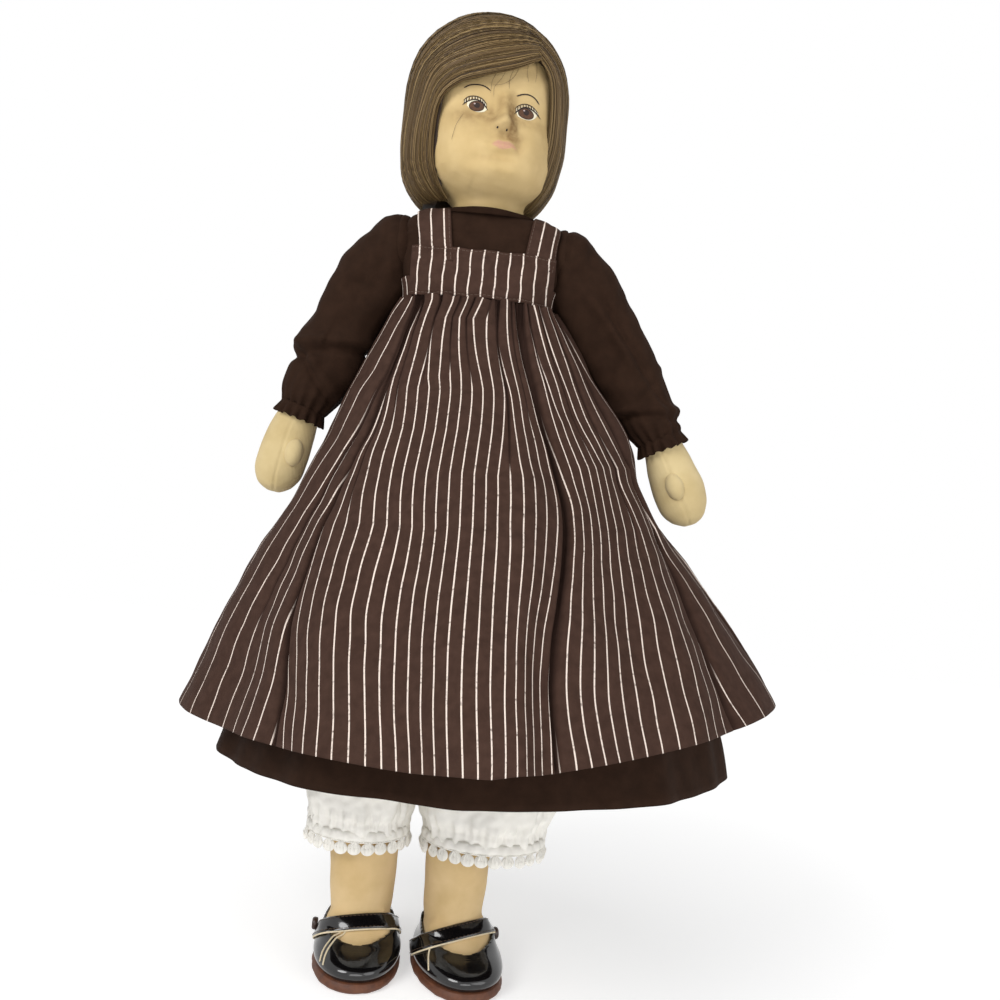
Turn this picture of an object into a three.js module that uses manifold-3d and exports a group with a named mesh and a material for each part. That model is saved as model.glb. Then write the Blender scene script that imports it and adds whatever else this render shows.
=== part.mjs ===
// A jointed cloth doll, 485 mm tall, in a long-sleeved dress, a pinstriped pinafore,
// lace-trimmed bloomers and strap shoes. Its neck, shoulders and hips turn on
// hardboard discs that a split pin holds together inside the stuffed cloth.
// Lengths are millimetres and +Z is up. The doll faces -Y, so its left side is at +X.

import * as THREE from 'three';
import { mergeVertices } from 'three/addons/utils/BufferGeometryUtils.js';
import Module from 'manifold-3d';

const wasm = await Module();
wasm.setup();

// The origin is under the middle of the doll's outline, so the doll's own middle line stands here.
const doll_middle = [-21, 17, 0];

// Cloth and fits
const cloth = 1.2;
const fit = 0.3;
const half_share = 0.5;

// Turning points and turned rest positions of the limbs
const shoulder_height = 361;
const shoulder_plane = 39;
const hip_height = 236;
const hip_middle = -3;
const hip_plane = 16.3;
const waist_drop = 28;
const neck_rise = 14.8;
const neck_shift = 0.5;
const waist_height = shoulder_height - waist_drop;
const neck_base = [neck_shift, 0, shoulder_height + neck_rise];
const head_turn = 11;
const foot_turns = { right: 5, left: 17 };

// Disc joints: wall of stuffed cloth between the disc and the joint's plane, then the stack
const joint_wall = 2.4;
const disc_thickness = 2.5;
const washer_thickness = 0.8;
const washer_radius = 4.5;
const pin_radius = 1.4;
const pin_head_radius = 3;
const pin_head_thickness = 1;
const pin_bore_radius = 1.8;
const neck_disc_radius = 10;
const shoulder_disc_radius = 9;
const hip_disc_radius = 13;

// Rows whose first value is a rise above a level, set at that level.
function raised(level, rows) {
  return rows.map(([rise, ...rest]) => [level + rise, ...rest]);
}

// Rows that start with a sideways place and a drop below a level.
function hung(level, rows) {
  return rows.map(([x, drop, ...rest]) => [x, level - drop, ...rest]);
}

// Rows that start with a sideways place and get heights that are these shares of a level.
function shared(level, shares, rows) {
  return rows.map(([x, ...rest], row) => [x, level * shares[row], ...rest]);
}

function on_both_sides(rows_of) {
  return { right: rows_of('right'), left: rows_of('left') };
}

// Stuffed body. Pelvis and waist, at these shares of the way from the hips up to the shoulders:
// half width, front, back, squareness. The chest's rows start with the rise above the shoulders.
const torso_length = shoulder_height - hip_height;
const pelvis_rise_shares = [-0.236, -0.216, -0.168, -0.096, 0.096, 0.312, 0.552];
const pelvis_plans = [
  [6, 6, 6, 2.2],
  [15, 13, 13, 2.3],
  [22, 20, 20, 2.4],
  [31, 25.5, 25.5, 2.4],
  [36, 28, 28, 2.4],
  [35, 27, 28, 2.4],
  [33.5, 25.5, 24, 2.5],
];
const chest_plans = [
  [-28, 35.2, 26, 23.5, 2.7],
  [-20, 36, 26, 23.5, 3],
  [-11, 38.7, 25.5, 23.5, 3.4],
  [7, 38.7, 24, 22.5, 3.4],
  [12.5, 36.5, 22, 20.5, 3],
  [14.5, 32.9, 19.8, 18.5, 3],
];
const pelvis_rings = pelvis_plans.map((plan, row) => (
  [hip_height + torso_length * pelvis_rise_shares[row], ...plan]
));
const chest_rings = raised(shoulder_height, chest_plans);
const torso_rings = [...pelvis_rings, ...chest_rings];
const chest_skirt = 11;
const pelvis_clearance_radius = 32;

// Head and neck, above the neck's turning point: rise, half width, front, back, squareness
const head_rings = [
  [0.3, 18, 18, 18, 2],
  [7.2, 18, 18, 18, 2],
  [11.7, 19.5, 21, 19.5, 2.1],
  [14.7, 22, 27.5, 21, 2.2],
  [18.2, 25, 32.5, 23, 2.2],
  [24.2, 27.5, 35, 26, 2.2],
  [34.2, 29.5, 36, 30, 2.2],
  [44.2, 30.5, 35.6, 34, 2.2],
  [55.2, 31, 35.4, 36.5, 2.1],
  [67.2, 31, 35, 37.5, 2.1],
  [79.2, 29, 32, 36, 2.1],
  [89.2, 24.5, 26.5, 31, 2],
  [97.2, 17, 18.5, 22, 2],
  [101.7, 8, 9, 11, 2],
];
const nose_place = [-1.5, -35.2, 39.8];
const nose_size = [3.8, 5, 6];

// Wig: outer shape, the hollow under the bob, and the open face seen from the front
const wig_rings = [
  [7.7, 29, 5, 31, 2],
  [11.2, 33, 11, 35.5, 2],
  [20.2, 39, 21, 42, 2.1],
  [34.2, 41.5, 30, 45, 2.1],
  [54.2, 41.5, 37, 47, 2.1],
  [74.2, 40.5, 40, 47, 2.1],
  [89.2, 36, 37, 43.5, 2],
  [99.2, 28.5, 30, 35, 2],
  [106.5, 18, 19, 23, 2],
  [109.2, 8, 9, 11, 2],
];
const wig_shift = -4.6;
const wig_hollow_rings = [
  [2.2, 26, 26, 27, 2],
  [14.2, 27.5, 30, 30, 2.1],
  [24.2, 29, 34, 31, 2.2],
  [36.2, 27, 30, 28, 2.2],
];
const face_outline = [
  [14, 79.2], [0, 69.6], [-13.5, 64.3], [-24.5, 61.2], [-30.2, 57.4], [-31.6, 40.1],
  [-27, 2.2], [19, 2.2], [21.6, 25.2], [24, 46.1], [23, 62], [20.7, 74.7],
];
const face_depth = [-60, -13];

// Arms: distance from the doll's middle, drop below the shoulder, half width, half thickness
const arm_drops = {
  right: [
    [44, 0, 11.5, 11.5], [55, 11, 12, 12], [67, 35, 11, 11], [78, 65, 10.5, 10.5],
    [84.8, 86, 9.8, 9.4], [89.3, 99, 12, 9.4], [92.4, 112, 13, 9.5], [94.8, 123, 10.5, 8],
    [95.8, 129.5, 5.5, 4.5],
  ],
  left: [
    [44, 0, 11.5, 11.5], [54, 10, 12, 12], [65, 25, 11.5, 11.5], [82.5, 56, 10.8, 10.8],
    [96.5, 78.5, 10, 10], [101, 87, 9.8, 9.4], [107, 99, 12, 9.5], [113, 111.5, 13.2, 9.5],
    [117.4, 121, 10.5, 8], [119.6, 126, 5.5, 4.5],
  ],
};
const arm_rows = on_both_sides((side) => hung(shoulder_height, arm_drops[side]));
const sleeve_drops = {
  right: [
    [44, 0, 16.2], [55, 11, 16.4], [67, 35, 15.4], [78, 65, 14.8], [82.3, 78.5, 14],
    [84.6, 86, 11.5],
  ],
  left: [
    [44, 0, 16.2], [54, 10, 16.4], [65, 25, 15.6], [82.5, 56, 15], [92.4, 71.5, 14.6],
    [96.8, 78.5, 14], [99.8, 84.4, 11.5],
  ],
};
const sleeve_rows = on_both_sides((side) => hung(shoulder_height, sleeve_drops[side]));
const arm_top_profile = [[39.3, 0], [39.3, 11.3], [40.6, 12.8], [46, 13.4], [52, 11], [55.5, 6], [57, 0]];
const sleeve_top_profile = [[40.6, 0], [40.6, 16.4], [45, 17.4], [51.5, 15.8], [57.5, 10.5], [61, 0]];
const armhole_radius = 13.5;
const armhole_depth = 9;
const ruffle_length = 5;
const ruffle_flare = 2.6;
const ruffle_wave = 0.7;
const ruffle_waves = 8;
const ruffle_steps = 3;
const thumb_size = [4.6, 4.2, 7];
const thumb_places = { right: [-85.2, -8.6, -109], left: [108.4, -8.8, -108] };
const thumb_lean = { right: -8, left: 24 };

// Legs: sideways place, half width and half depth at these shares of the hip's height
const leg_height_shares = [0.958, 0.847, 0.678, 0.551, 0.424, 0.254, 0.144, 0.085];
const leg_plans = {
  right: [
    [-38, 18.5, 24], [-37, 20.5, 23.5], [-35, 20, 20.5], [-34, 19, 18.5],
    [-32.8, 18.4, 18.5], [-31.6, 17.8, 17], [-30.5, 16.6, 16], [-30, 14.4, 15],
  ],
  left: [
    [32, 18.5, 24], [30.5, 20.5, 23.5], [26, 20, 20.5], [22.6, 18.8, 18.5],
    [19.6, 18, 18.5], [16.8, 16.8, 17], [17.2, 15.6, 16], [17.4, 14, 15],
  ],
};
const leg_rows = on_both_sides((side) => shared(hip_height, leg_height_shares, leg_plans[side]));
const thigh_profile = [
  [16.6, 0], [16.6, 24], [19, 26.5], [27, 28.5], [37, 26.5], [46, 20], [51, 11], [53, 0],
];
const pelvis_radius = 33.4;

// Bloomers: seat on the body, legs with a lace edge on the legs
const seat_rise_share = 0.432;
const seat_half_width = 15.6;
const bloomer_height_shares = [0.983, 0.864, 0.636, 0.424, 0.331, 0.281];
const bloomer_plans = {
  right: [
    [-38, 22, 27], [-37, 24.5, 27], [-36.5, 26.4, 26], [-36.6, 28, 25.5], [-35.5, 27.4, 24.5],
    [-35.5, 25.6, 22.5],
  ],
  left: [
    [32, 22, 27], [31.5, 25, 27], [31, 29, 27], [30.5, 33.6, 26], [29, 33.6, 25.4],
    [29, 31, 23.5],
  ],
};
const bloomer_rows = on_both_sides((side) => shared(hip_height, bloomer_height_shares, bloomer_plans[side]));
const bloomer_top_profile = [
  [17, 0], [17, 29.8], [21, 30.6], [28, 31], [39, 28.8], [49, 22.5], [55, 12], [57.5, 0],
];
const bloomer_inner_profile = [
  [16, 0], [16, 28.6], [21, 29.4], [28, 29.8], [38.5, 27.6], [48, 21.4], [54, 11.4], [56.3, 0],
];
const bloomer_waves = 8;
const bloomer_wave = 0.7;
const bloomer_steps = 3;
const lace_drop = 9;
const lace_pitch = 6.7;
const lace_scallop = 1.6;
const lace_steps = 3;

// Skirts, at these shares of the waist's height: right side, left side, front, back, squareness
const pinafore_height_shares = [1, 0.976, 0.907, 0.814, 0.757, 0.709, 0.596, 0.453, 0.36];
const pinafore_plans = [
  [-39.6, 42, -31.6, 28.6, 2.5],
  [-44, 46.5, -38.5, 34, 2.3],
  [-53.5, 61, -54, 46, 2.1],
  [-67, 83, -74, 59, 1.9],
  [-74.5, 90, -86, 68, 1.8],
  [-81.5, 101, -96, 77, 1.75],
  [-100.5, 133, -119, 94, 1.6],
  [-120, 173, -145, 112, 1.48],
  [-131, 189, -158, 121, 1.45],
];
const pinafore_hem_height = 136;
const hem_middle = 21.5;
const hem_slope_share = 0.0963;
const pinafore_folds = { waves: [10, 20], depths: [3.4, 0.9], phases: [0.6, 0], start_share: 0.12 };
const dress_height_shares = [1, 0.976, 0.907, 0.814, 0.709, 0.601, 0.45, 0.285];
const dress_plans = [
  [-37.2, 38, -28.4, 25.8, 2.6],
  [-40.4, 42.4, -34.5, 30.4, 2.4],
  [-49, 55, -50, 42, 2.2],
  [-61, 73, -66, 53, 2],
  [-73, 89, -83, 64, 1.9],
  [-84, 112, -96, 75, 1.85],
  [-97, 134, -108, 87, 1.8],
  [-110, 152, -117, 96, 1.8],
];
const dress_hem_height = 107;
const dress_hem_slope_share = 0.04;
const dress_folds = { waves: [9, 15], depths: [2.2, 0.5], phases: [1.4, 0.4], start_share: 0.12 };
const skirt_columns = 54;
const skirt_rows = 5;

// Bodice, bib, bands and straps lie on the chest in layers
const bib_right_reach = 32;
const bib_left_reach = 37;
const bib_height = 24;
const band_height = 10.5;
const band_start = 7;
const bib_bottom = waist_height + cloth;
const bib_top = bib_bottom + bib_height;
const strap_rise = 23;
const strap_top = shoulder_height + strap_rise;
const strap_bottom = bib_top + fit;
const strap_edges = { right: [[-30, -37.4], [-13.6, -22.4]], left: [[21.6, 25.4], [36.6, 39.8]] };
const collar_radius = 19.1;
const collar_height = 5.2;
const collar_root = 3.8;
const back_gap = 0.4;
const button_radius = 4;
const button_thickness = 2;
const dress_button_rises = [-9, 2.5];

// Shoes, with the ankle over the origin: height, half width, front, back, squareness
const upper_rings = [
  [5.1, 19.6, 44, 23.6, 2.3],
  [9, 20.6, 45, 24.4, 2.3],
  [12, 20.4, 43, 24.6, 2.2],
  [14.6, 19.8, 37.5, 24.6, 2.2],
  [16.6, 19.2, 31, 24.4, 2.1],
  [19.8, 18.6, 25.5, 24.3, 2.1],
  [24.5, 17.4, 21, 23.8, 2],
  [27.5, 15, 17.5, 22, 2],
];
const upper_wall = 1.5;
const foot_middle = -10;
const foot_taper_share = 0.13;
const vamp_edge = -29;
const vamp_height = 17;
const topline_lean = 8;
const opening_floor = 10;
const opening_half_width = 16.4;
const sole_rings = [[0, 20.2, 44.6, 24.2, 2.3], [1, 21, 45.6, 25, 2.3], [4.8, 21, 45.6, 25, 2.3]];
const insole_rings = [[5.4, 15.8, 40.2, 19.8, 2.3], [6.5, 15.8, 40.2, 19.8, 2.3]];
const foot_bottom = 6.9;
const shoe_strap_place = [0, -18, 22.5];
const shoe_strap_lean = 31;
const shoe_strap_width = 7.6;
const shoe_strap_back = 5;
const shoe_strap_front = -24;
const shoe_strap_bottom = 10.5;
const shoe_button_place = [24, -3, 14.2];
const shoe_button_radius = 3;

// Facets round each kind of piece
const limb_facets = 14;
const body_facets = 20;
const round_facets = 10;
const shoe_facets = 16;
const egg_facets = [14, 10];

// Finishes
const skin = { color: 0xdccb96, roughness: 0.95 };
const leg_cloth = { color: 0xd6b67e, roughness: 0.95 };
const hair = { color: 0x5b3f26, roughness: 0.55 };
const dress_cloth = { color: 0x2a1813, roughness: 0.95 };
const pinafore_cloth = { color: 0x4b3129, roughness: 0.9 };
const white_cloth = { color: 0xefece4, roughness: 0.95 };
const patent = { color: 0x0b0a0a, roughness: 0.12 };
const sole_leather = { color: 0x5d3a26, roughness: 0.6 };
const lining = { color: 0xb99b74, roughness: 0.8 };
const hardboard = { color: 0x8b6b47, roughness: 0.9 };
const steel = { color: 0xb9bbbe, roughness: 0.35, metalness: 1 };
const button_shell = { color: 0x3b261d, roughness: 0.35 };

// Solids from closed surfaces

function solid_of(points, faces) {
  const volume = faces.reduce((sum, face) => {
    const [a, b, c] = face.map((index) => new THREE.Vector3(...points[index]));
    return sum + a.dot(b.cross(c));
  }, 0);
  const facing_out = volume > 0 ? faces : faces.map(([a, b, c]) => [a, c, b]);
  return new wasm.Manifold(new wasm.Mesh({
    numProp: 3,
    vertProperties: Float32Array.from(points.flat()),
    triVerts: Uint32Array.from(facing_out.flat()),
  }));
}

function solid_from(geometry) {
  geometry.deleteAttribute('normal');
  geometry.deleteAttribute('uv');
  const { attributes: { position }, index } = mergeVertices(geometry);
  const points = Array.from({ length: position.count }, (_, row) => [0, 1, 2].map(
    (axis) => position.getComponent(row, axis),
  ));
  const corners = Array.from({ length: index.count / 3 }, (_, row) => [0, 1, 2].map(
    (corner) => index.getX(row * 3 + corner),
  ));
  const faces = corners.filter(([a, b, c]) => a !== b && b !== c && c !== a);
  return solid_of(points, faces);
}

function geometry_from(solid) {
  const mesh = solid.getMesh();
  const geometry = new THREE.BufferGeometry();
  geometry.setAttribute('position', new THREE.BufferAttribute(mesh.vertProperties, 3));
  geometry.setIndex(new THREE.BufferAttribute(mesh.triVerts, 1));
  geometry.computeVertexNormals();
  return geometry;
}

function side_faces(rows, columns, first = 0) {
  const faces = [];
  for (let row = 0; row + 1 < rows; row += 1) {
    for (let column = 0; column < columns; column += 1) {
      const a = first + row * columns + column;
      const b = first + row * columns + ((column + 1) % columns);
      faces.push([a, b, b + columns], [a, b + columns, a + columns]);
    }
  }
  return faces;
}

function middle_of(ring) {
  const total = ring.reduce((sum, point) => sum.add(new THREE.Vector3(...point)), new THREE.Vector3());
  return total.divideScalar(ring.length).toArray();
}

// A closed loft through rings that run from one end to the other.
function loft(rings) {
  const columns = rings[0].length;
  const last = (rings.length - 1) * columns;
  const points = rings.flat();
  const faces = side_faces(rings.length, columns);
  const start = points.push(middle_of(rings[0])) - 1;
  const end = points.push(middle_of(rings[rings.length - 1])) - 1;
  for (let column = 0; column < columns; column += 1) {
    const next = (column + 1) % columns;
    faces.push([start, next, column], [end, last + column, last + next]);
  }
  return solid_of(points, faces);
}

// A cloth tube: an outer and an inner surface joined round both ends.
function cloth_tube(outer, inner) {
  const columns = outer[0].length;
  const rows = outer.length;
  const inner_first = rows * columns;
  const points = [...outer.flat(), ...inner.flat()];
  const inner_faces = side_faces(rows, columns, inner_first).map(([a, b, c]) => [a, c, b]);
  const faces = [...side_faces(rows, columns), ...inner_faces];
  for (let column = 0; column < columns; column += 1) {
    const next = (column + 1) % columns;
    const low = [column, next, inner_first + next, inner_first + column];
    const top = low.map((index) => index + (rows - 1) * columns);
    faces.push([low[0], low[2], low[1]], [low[0], low[3], low[2]]);
    faces.push([top[0], top[1], top[2]], [top[0], top[2], top[3]]);
  }
  return solid_of(points, faces);
}

function power(value, exponent) {
  return Math.sign(value) * Math.abs(value) ** exponent;
}

function turn_at(column, columns) {
  return (2 * Math.PI * column) / columns;
}

// A level ring whose outline runs from an ellipse to a rounded square.
function body_ring([height, half_width, front, back, squareness], facets, grow = 0) {
  const ring = [];
  for (let column = 0; column < facets; column += 1) {
    const turn = turn_at(column, facets);
    const x = (half_width + grow) * power(Math.cos(turn), 2 / squareness);
    const depth = Math.sin(turn) < 0 ? front + grow : back + grow;
    ring.push([x, depth * power(Math.sin(turn), 2 / squareness), height]);
  }
  return ring;
}

function body_loft(rows, facets, grow = 0) {
  return loft(rows.map((row) => body_ring(row, facets, grow)));
}

// Rings square to a limb's path in the XZ plane: x, height, half width, half thickness.
function limb_rings(rows, facets, grow = 0) {
  return rows.map((row, index) => {
    const before = rows[Math.max(index - 1, 0)];
    const after = rows[Math.min(index + 1, rows.length - 1)];
    const along = new THREE.Vector2(after[0] - before[0], after[1] - before[1]).normalize();
    const [x, z, half_width, half_thickness = half_width] = row;
    const ring = [];
    for (let column = 0; column < facets; column += 1) {
      const turn = turn_at(column, facets);
      const across = (half_width + grow) * Math.cos(turn);
      ring.push([x + across * along.y, (half_thickness + grow) * Math.sin(turn), z - across * along.x]);
    }
    return ring;
  });
}

function limb(rows, facets, grow = 0) {
  return loft(limb_rings(rows, facets, grow));
}

function mirrored(rows, side) {
  const sign = side === 'left' ? 1 : -1;
  return rows.map(([x, ...rest]) => [sign * x, ...rest]);
}

function moved(geometry, [x, y, z]) {
  return geometry.translate(x, y, z);
}

// A round solid about an axis through a joint: the profile runs along the axis.
function turned(profile, axis, facets = round_facets) {
  const points = profile.map(([along, radius]) => new THREE.Vector2(radius, along));
  const geometry = new THREE.LatheGeometry(points, facets);
  if (axis === 'left') geometry.rotateZ(-Math.PI * half_share);
  if (axis === 'right') geometry.rotateZ(Math.PI * half_share);
  if (axis === 'up') geometry.rotateX(Math.PI * half_share);
  return geometry;
}

function post(radius, start, end, axis, facets) {
  return turned([[start, 0], [start, radius], [end, radius], [end, 0]], axis, facets);
}

function block([x0, x1], [y0, y1], [z0, z1]) {
  const geometry = new THREE.BoxGeometry(x1 - x0, y1 - y0, z1 - z0);
  const middle = [x0 + x1, y0 + y1, z0 + z1].map((sum) => sum * half_share);
  return solid_from(moved(geometry, middle));
}

// A straight prism along Y with an outline given in x and height.
function prism(outline, [y0, y1]) {
  const shape = new THREE.Shape(outline.map(([x, z]) => new THREE.Vector2(x, z)));
  const geometry = new THREE.ExtrudeGeometry(shape, { depth: y1 - y0, bevelEnabled: false });
  geometry.rotateX(Math.PI * half_share);
  return solid_from(moved(geometry, [0, y1, 0]));
}

function egg([size_x, size_y, size_z]) {
  return new THREE.SphereGeometry(1, ...egg_facets).scale(size_x, size_y, size_z);
}

// Scene graph

const doll = new THREE.Group();
doll.position.set(...doll_middle);

function place(parent, name, solid, finish, pivot = [0, 0, 0]) {
  const shift = pivot.map((value) => -value);
  const material = new THREE.MeshStandardMaterial({ metalness: 0, ...finish });
  const mesh = new THREE.Mesh(geometry_from(solid.translate(shift)), material);
  mesh.name = name;
  parent.add(mesh);
  return mesh;
}

function limb_group(pivot, turn = 0) {
  const group = new THREE.Group();
  group.position.set(...pivot);
  group.rotation.z = THREE.MathUtils.degToRad(turn);
  doll.add(group);
  return group;
}

// Disc joints

const pocket_start = joint_wall + fit;
const disc_start = pocket_start + fit;
const washer_start = disc_start + disc_thickness + fit;
const pin_head_start = washer_start + washer_thickness + fit;
const pin_end = pin_head_start + pin_head_thickness;
const pocket_end = pin_end + fit;
const bore_margin = 1;

function joint_pocket(disc_radius, sign, axis, pivot) {
  const ends = [sign * pocket_start, sign * pocket_end].sort((a, b) => a - b);
  const bore_ends = [-sign * bore_margin, sign * (pocket_start + bore_margin)].sort((a, b) => a - b);
  const pocket = solid_from(moved(post(disc_radius + fit, ...ends, axis), pivot));
  return pocket.add(solid_from(moved(post(pin_bore_radius, ...bore_ends, axis), pivot)));
}

function ring_plate(radius, start, end, axis) {
  const [low, high] = [start, end].sort((a, b) => a - b);
  const profile = [[low, pin_bore_radius], [low, radius], [high, radius], [high, pin_bore_radius]];
  return solid_from(turned([...profile, profile[0]], axis));
}

function split_pin(axis) {
  return solid_from(turned([
    [-pin_end, 0], [-pin_end, pin_head_radius], [-pin_head_start, pin_head_radius],
    [-pin_head_start, pin_radius], [pin_head_start, pin_radius], [pin_head_start, pin_head_radius],
    [pin_end, pin_head_radius], [pin_end, 0],
  ], axis));
}

// The disc of the body, the limb's disc with its washer, and the pin through them.
function add_disc_joint(group, name, pivot, axis, disc_radius) {
  const at = (solid) => solid.translate(pivot);
  const body_disc = ring_plate(disc_radius, -disc_start, -disc_start - disc_thickness, axis);
  const body_washer = ring_plate(washer_radius, -washer_start, -washer_start - washer_thickness, axis);
  const limb_disc = ring_plate(disc_radius, disc_start, disc_start + disc_thickness, axis);
  place(doll, `${name}_disc_body`, at(body_disc), hardboard);
  place(doll, `${name}_washer`, at(body_washer), steel);
  place(group, `${name}_disc_limb`, limb_disc, hardboard);
  place(group, `${name}_pin`, split_pin(axis), steel);
}

// Body

function chest(grow) {
  const [[bottom, ...plan]] = chest_rings;
  const rows = [[bottom - chest_skirt, ...plan], ...chest_rings];
  const top = chest_rings[chest_rings.length - 1][0] + grow;
  return loft(rows.map((row, index) => {
    const ring = body_ring(row, body_facets, grow);
    return index === rows.length - 1 ? ring.map(([x, y]) => [x, y, top]) : ring;
  }));
}

function torso_solid(grow) {
  const [[bottom, ...plan], ...rows] = torso_rings;
  return body_loft([[bottom - grow, ...plan], ...rows], body_facets, grow);
}

const hip_pivots = {
  right: [hip_middle - hip_plane, 0, hip_height],
  left: [hip_middle + hip_plane, 0, hip_height],
};
const shoulder_pivots = {
  right: [-shoulder_plane, 0, shoulder_height],
  left: [shoulder_plane, 0, shoulder_height],
};
const sides = ['right', 'left'];
const far = 1000;
const everywhere = [-far, far];

function hip_clearance(side, radius, start) {
  const geometry = post(radius, start, start + far, side, body_facets);
  return solid_from(moved(geometry, [hip_middle, 0, hip_height]));
}

function build_torso() {
  let torso = torso_solid(0);
  torso = torso.subtract(joint_pocket(neck_disc_radius, -1, 'up', neck_base));
  for (const side of sides) {
    torso = torso.subtract(hip_clearance(side, pelvis_clearance_radius, hip_plane - fit));
    torso = torso.subtract(joint_pocket(hip_disc_radius, -1, side, hip_pivots[side]));
    torso = torso.subtract(joint_pocket(shoulder_disc_radius, -1, side, shoulder_pivots[side]));
  }
  place(doll, 'torso', torso, skin);
}

// Head, turned a little to the doll's left

function head_solid(grow = 0) {
  const nose = solid_from(moved(egg(nose_size), nose_place));
  return body_loft(head_rings, body_facets, grow).add(nose);
}

function build_head() {
  const group = limb_group(neck_base, head_turn);
  const head = head_solid().subtract(joint_pocket(neck_disc_radius, 1, 'up', [0, 0, 0]));
  place(group, 'head', head, skin);
  const hollow = head_solid(fit).add(body_loft(wig_hollow_rings, body_facets));
  const bob = body_loft(wig_rings, body_facets).translate([wig_shift, 0, 0]);
  place(group, 'wig', bob.subtract(hollow).subtract(prism(face_outline, face_depth)), hair);
  add_disc_joint(group, 'neck', neck_base, 'up', neck_disc_radius);
}

// Arms and sleeves

function outward_of(side, plane) {
  const ends = side === 'left' ? [plane, far] : [-far, -plane];
  return block(ends, everywhere, everywhere);
}

function arm_solid(side, grow = 0) {
  const top = solid_from(moved(turned(arm_top_profile, side), [0, 0, shoulder_height]));
  const arm = limb(mirrored(arm_rows[side], side), limb_facets, grow).add(top);
  return arm.intersect(outward_of(side, arm_top_profile[0][0]));
}

function sleeve_solid(side) {
  const rows = mirrored(sleeve_rows[side], side);
  const inner_rows = rows.map(([x, z, radius]) => [x, z, radius - cloth]);
  const [end, before] = [rows[rows.length - 1], rows[rows.length - 2]];
  inner_rows.push([2 * end[0] - before[0], 2 * end[1] - before[1], end[2] - cloth]);
  const inner_profile = sleeve_top_profile.map(([along, radius], index) => {
    const [first, last] = [0, sleeve_top_profile.length - 1];
    if (index === first || index === 1) return [along - cloth, Math.max(radius - cloth, 0)];
    return [index === last ? along - cloth : along - cloth * half_share, Math.max(radius - cloth, 0)];
  });
  const outer = limb(rows, limb_facets);
  const at = [0, 0, shoulder_height];
  const outer_top = solid_from(moved(turned(sleeve_top_profile, side), at));
  const inner_top = solid_from(moved(turned(inner_profile, side), at));
  const inner = limb(inner_rows, limb_facets).add(inner_top);
  return outer.add(outer_top).subtract(inner).intersect(outward_of(side, sleeve_top_profile[0][0]));
}

function ruffle_solid(side) {
  const rows = mirrored(sleeve_rows[side], side);
  const [[x0, z0], [x1, z1, radius]] = rows.slice(-2);
  const along = new THREE.Vector2(x1 - x0, z1 - z0).normalize();
  const steps = [0, 1];
  const ringed = (inset) => steps.map((share) => {
    const distance = fit + share * ruffle_length;
    const ring = [];
    for (let column = 0; column < ruffle_waves * ruffle_steps; column += 1) {
      const turn = turn_at(column, ruffle_waves * ruffle_steps);
      const wave = ruffle_wave * share * Math.cos(ruffle_waves * turn);
      const reach = radius + share * ruffle_flare + wave - inset;
      const across = reach * Math.cos(turn);
      const x = x1 + along.x * distance + across * along.y;
      ring.push([x, reach * Math.sin(turn), z1 + along.y * distance - across * along.x]);
    }
    return ring;
  });
  return cloth_tube(ringed(0), ringed(cloth));
}

function build_arm(side) {
  const pivot = shoulder_pivots[side];
  const group = limb_group(pivot);
  const pocket = joint_pocket(shoulder_disc_radius, 1, side, pivot);
  place(group, `arm_${side}`, arm_solid(side).subtract(pocket), skin, pivot);
  const [x, y, rise] = thumb_places[side];
  const thumb = egg(thumb_size).rotateY(THREE.MathUtils.degToRad(-thumb_lean[side]));
  const seated = solid_from(moved(thumb, [x, y, shoulder_height + rise])).subtract(arm_solid(side, fit));
  place(group, `thumb_${side}`, seated, skin, pivot);
  place(group, `sleeve_${side}`, sleeve_solid(side), dress_cloth, pivot);
  place(group, `cuff_ruffle_${side}`, ruffle_solid(side), dress_cloth, pivot);
  add_disc_joint(group, `shoulder_${side}`, pivot, side, shoulder_disc_radius);
}

// Shoes stand in the ankle's own place and turn out with the foot

function shoe_ring([height, half_width, front, back, squareness], facets, grow) {
  const plan = [half_width, front + foot_middle, back - foot_middle, squareness];
  const ring = body_ring([height, ...plan], facets, grow);
  return ring.map(([x, y, z]) => {
    const narrowing = 1 - (foot_taper_share * y) / (back - foot_middle);
    return [x * Math.min(narrowing, 1), y + foot_middle, z];
  });
}

function shoe_loft(rows, grow = 0) {
  return loft(rows.map(([height, ...plan], index) => {
    const rise = index === rows.length - 1 ? grow : 0;
    return shoe_ring([height + rise, ...plan], shoe_facets, grow);
  }));
}

function ankle(side) {
  const rows = leg_rows[side];
  return [rows[rows.length - 1][0], 0, 0];
}

function on_foot(solid, side) {
  return solid.rotate([0, 0, foot_turns[side]]).translate(ankle(side));
}

// What lies above the shoe's topline, which rises from the vamp's edge to the heel.
function above_topline(grow = 0) {
  const slab = block(everywhere, [0, far], [0, far]).rotate([topline_lean, 0, 0]);
  return slab.translate([0, vamp_edge - grow, vamp_height + grow]);
}

function topline_cutter() {
  const [front, back] = [vamp_edge, upper_rings[1][3]];
  const half_length = (back - front) * half_share;
  const geometry = post(1, 0, far, 'up', shoe_facets).scale(opening_half_width, half_length, 1);
  const middle = front + half_length - upper_wall;
  return solid_from(moved(geometry, [0, middle, opening_floor])).add(above_topline());
}

// The inside of the shoe, or the foot in it, lies this far inside the upper's outer face.
function inner_rings(inset) {
  return upper_rings.map(([height, half_width, front, back, squareness]) => (
    [height - inset, half_width - inset, front - inset, back - inset, squareness]
  ));
}

function foot_loft(grow = 0) {
  const [[, ...plan], ...rows] = inner_rings(upper_wall + fit);
  return shoe_loft([[foot_bottom, ...plan], ...rows], grow);
}

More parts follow.
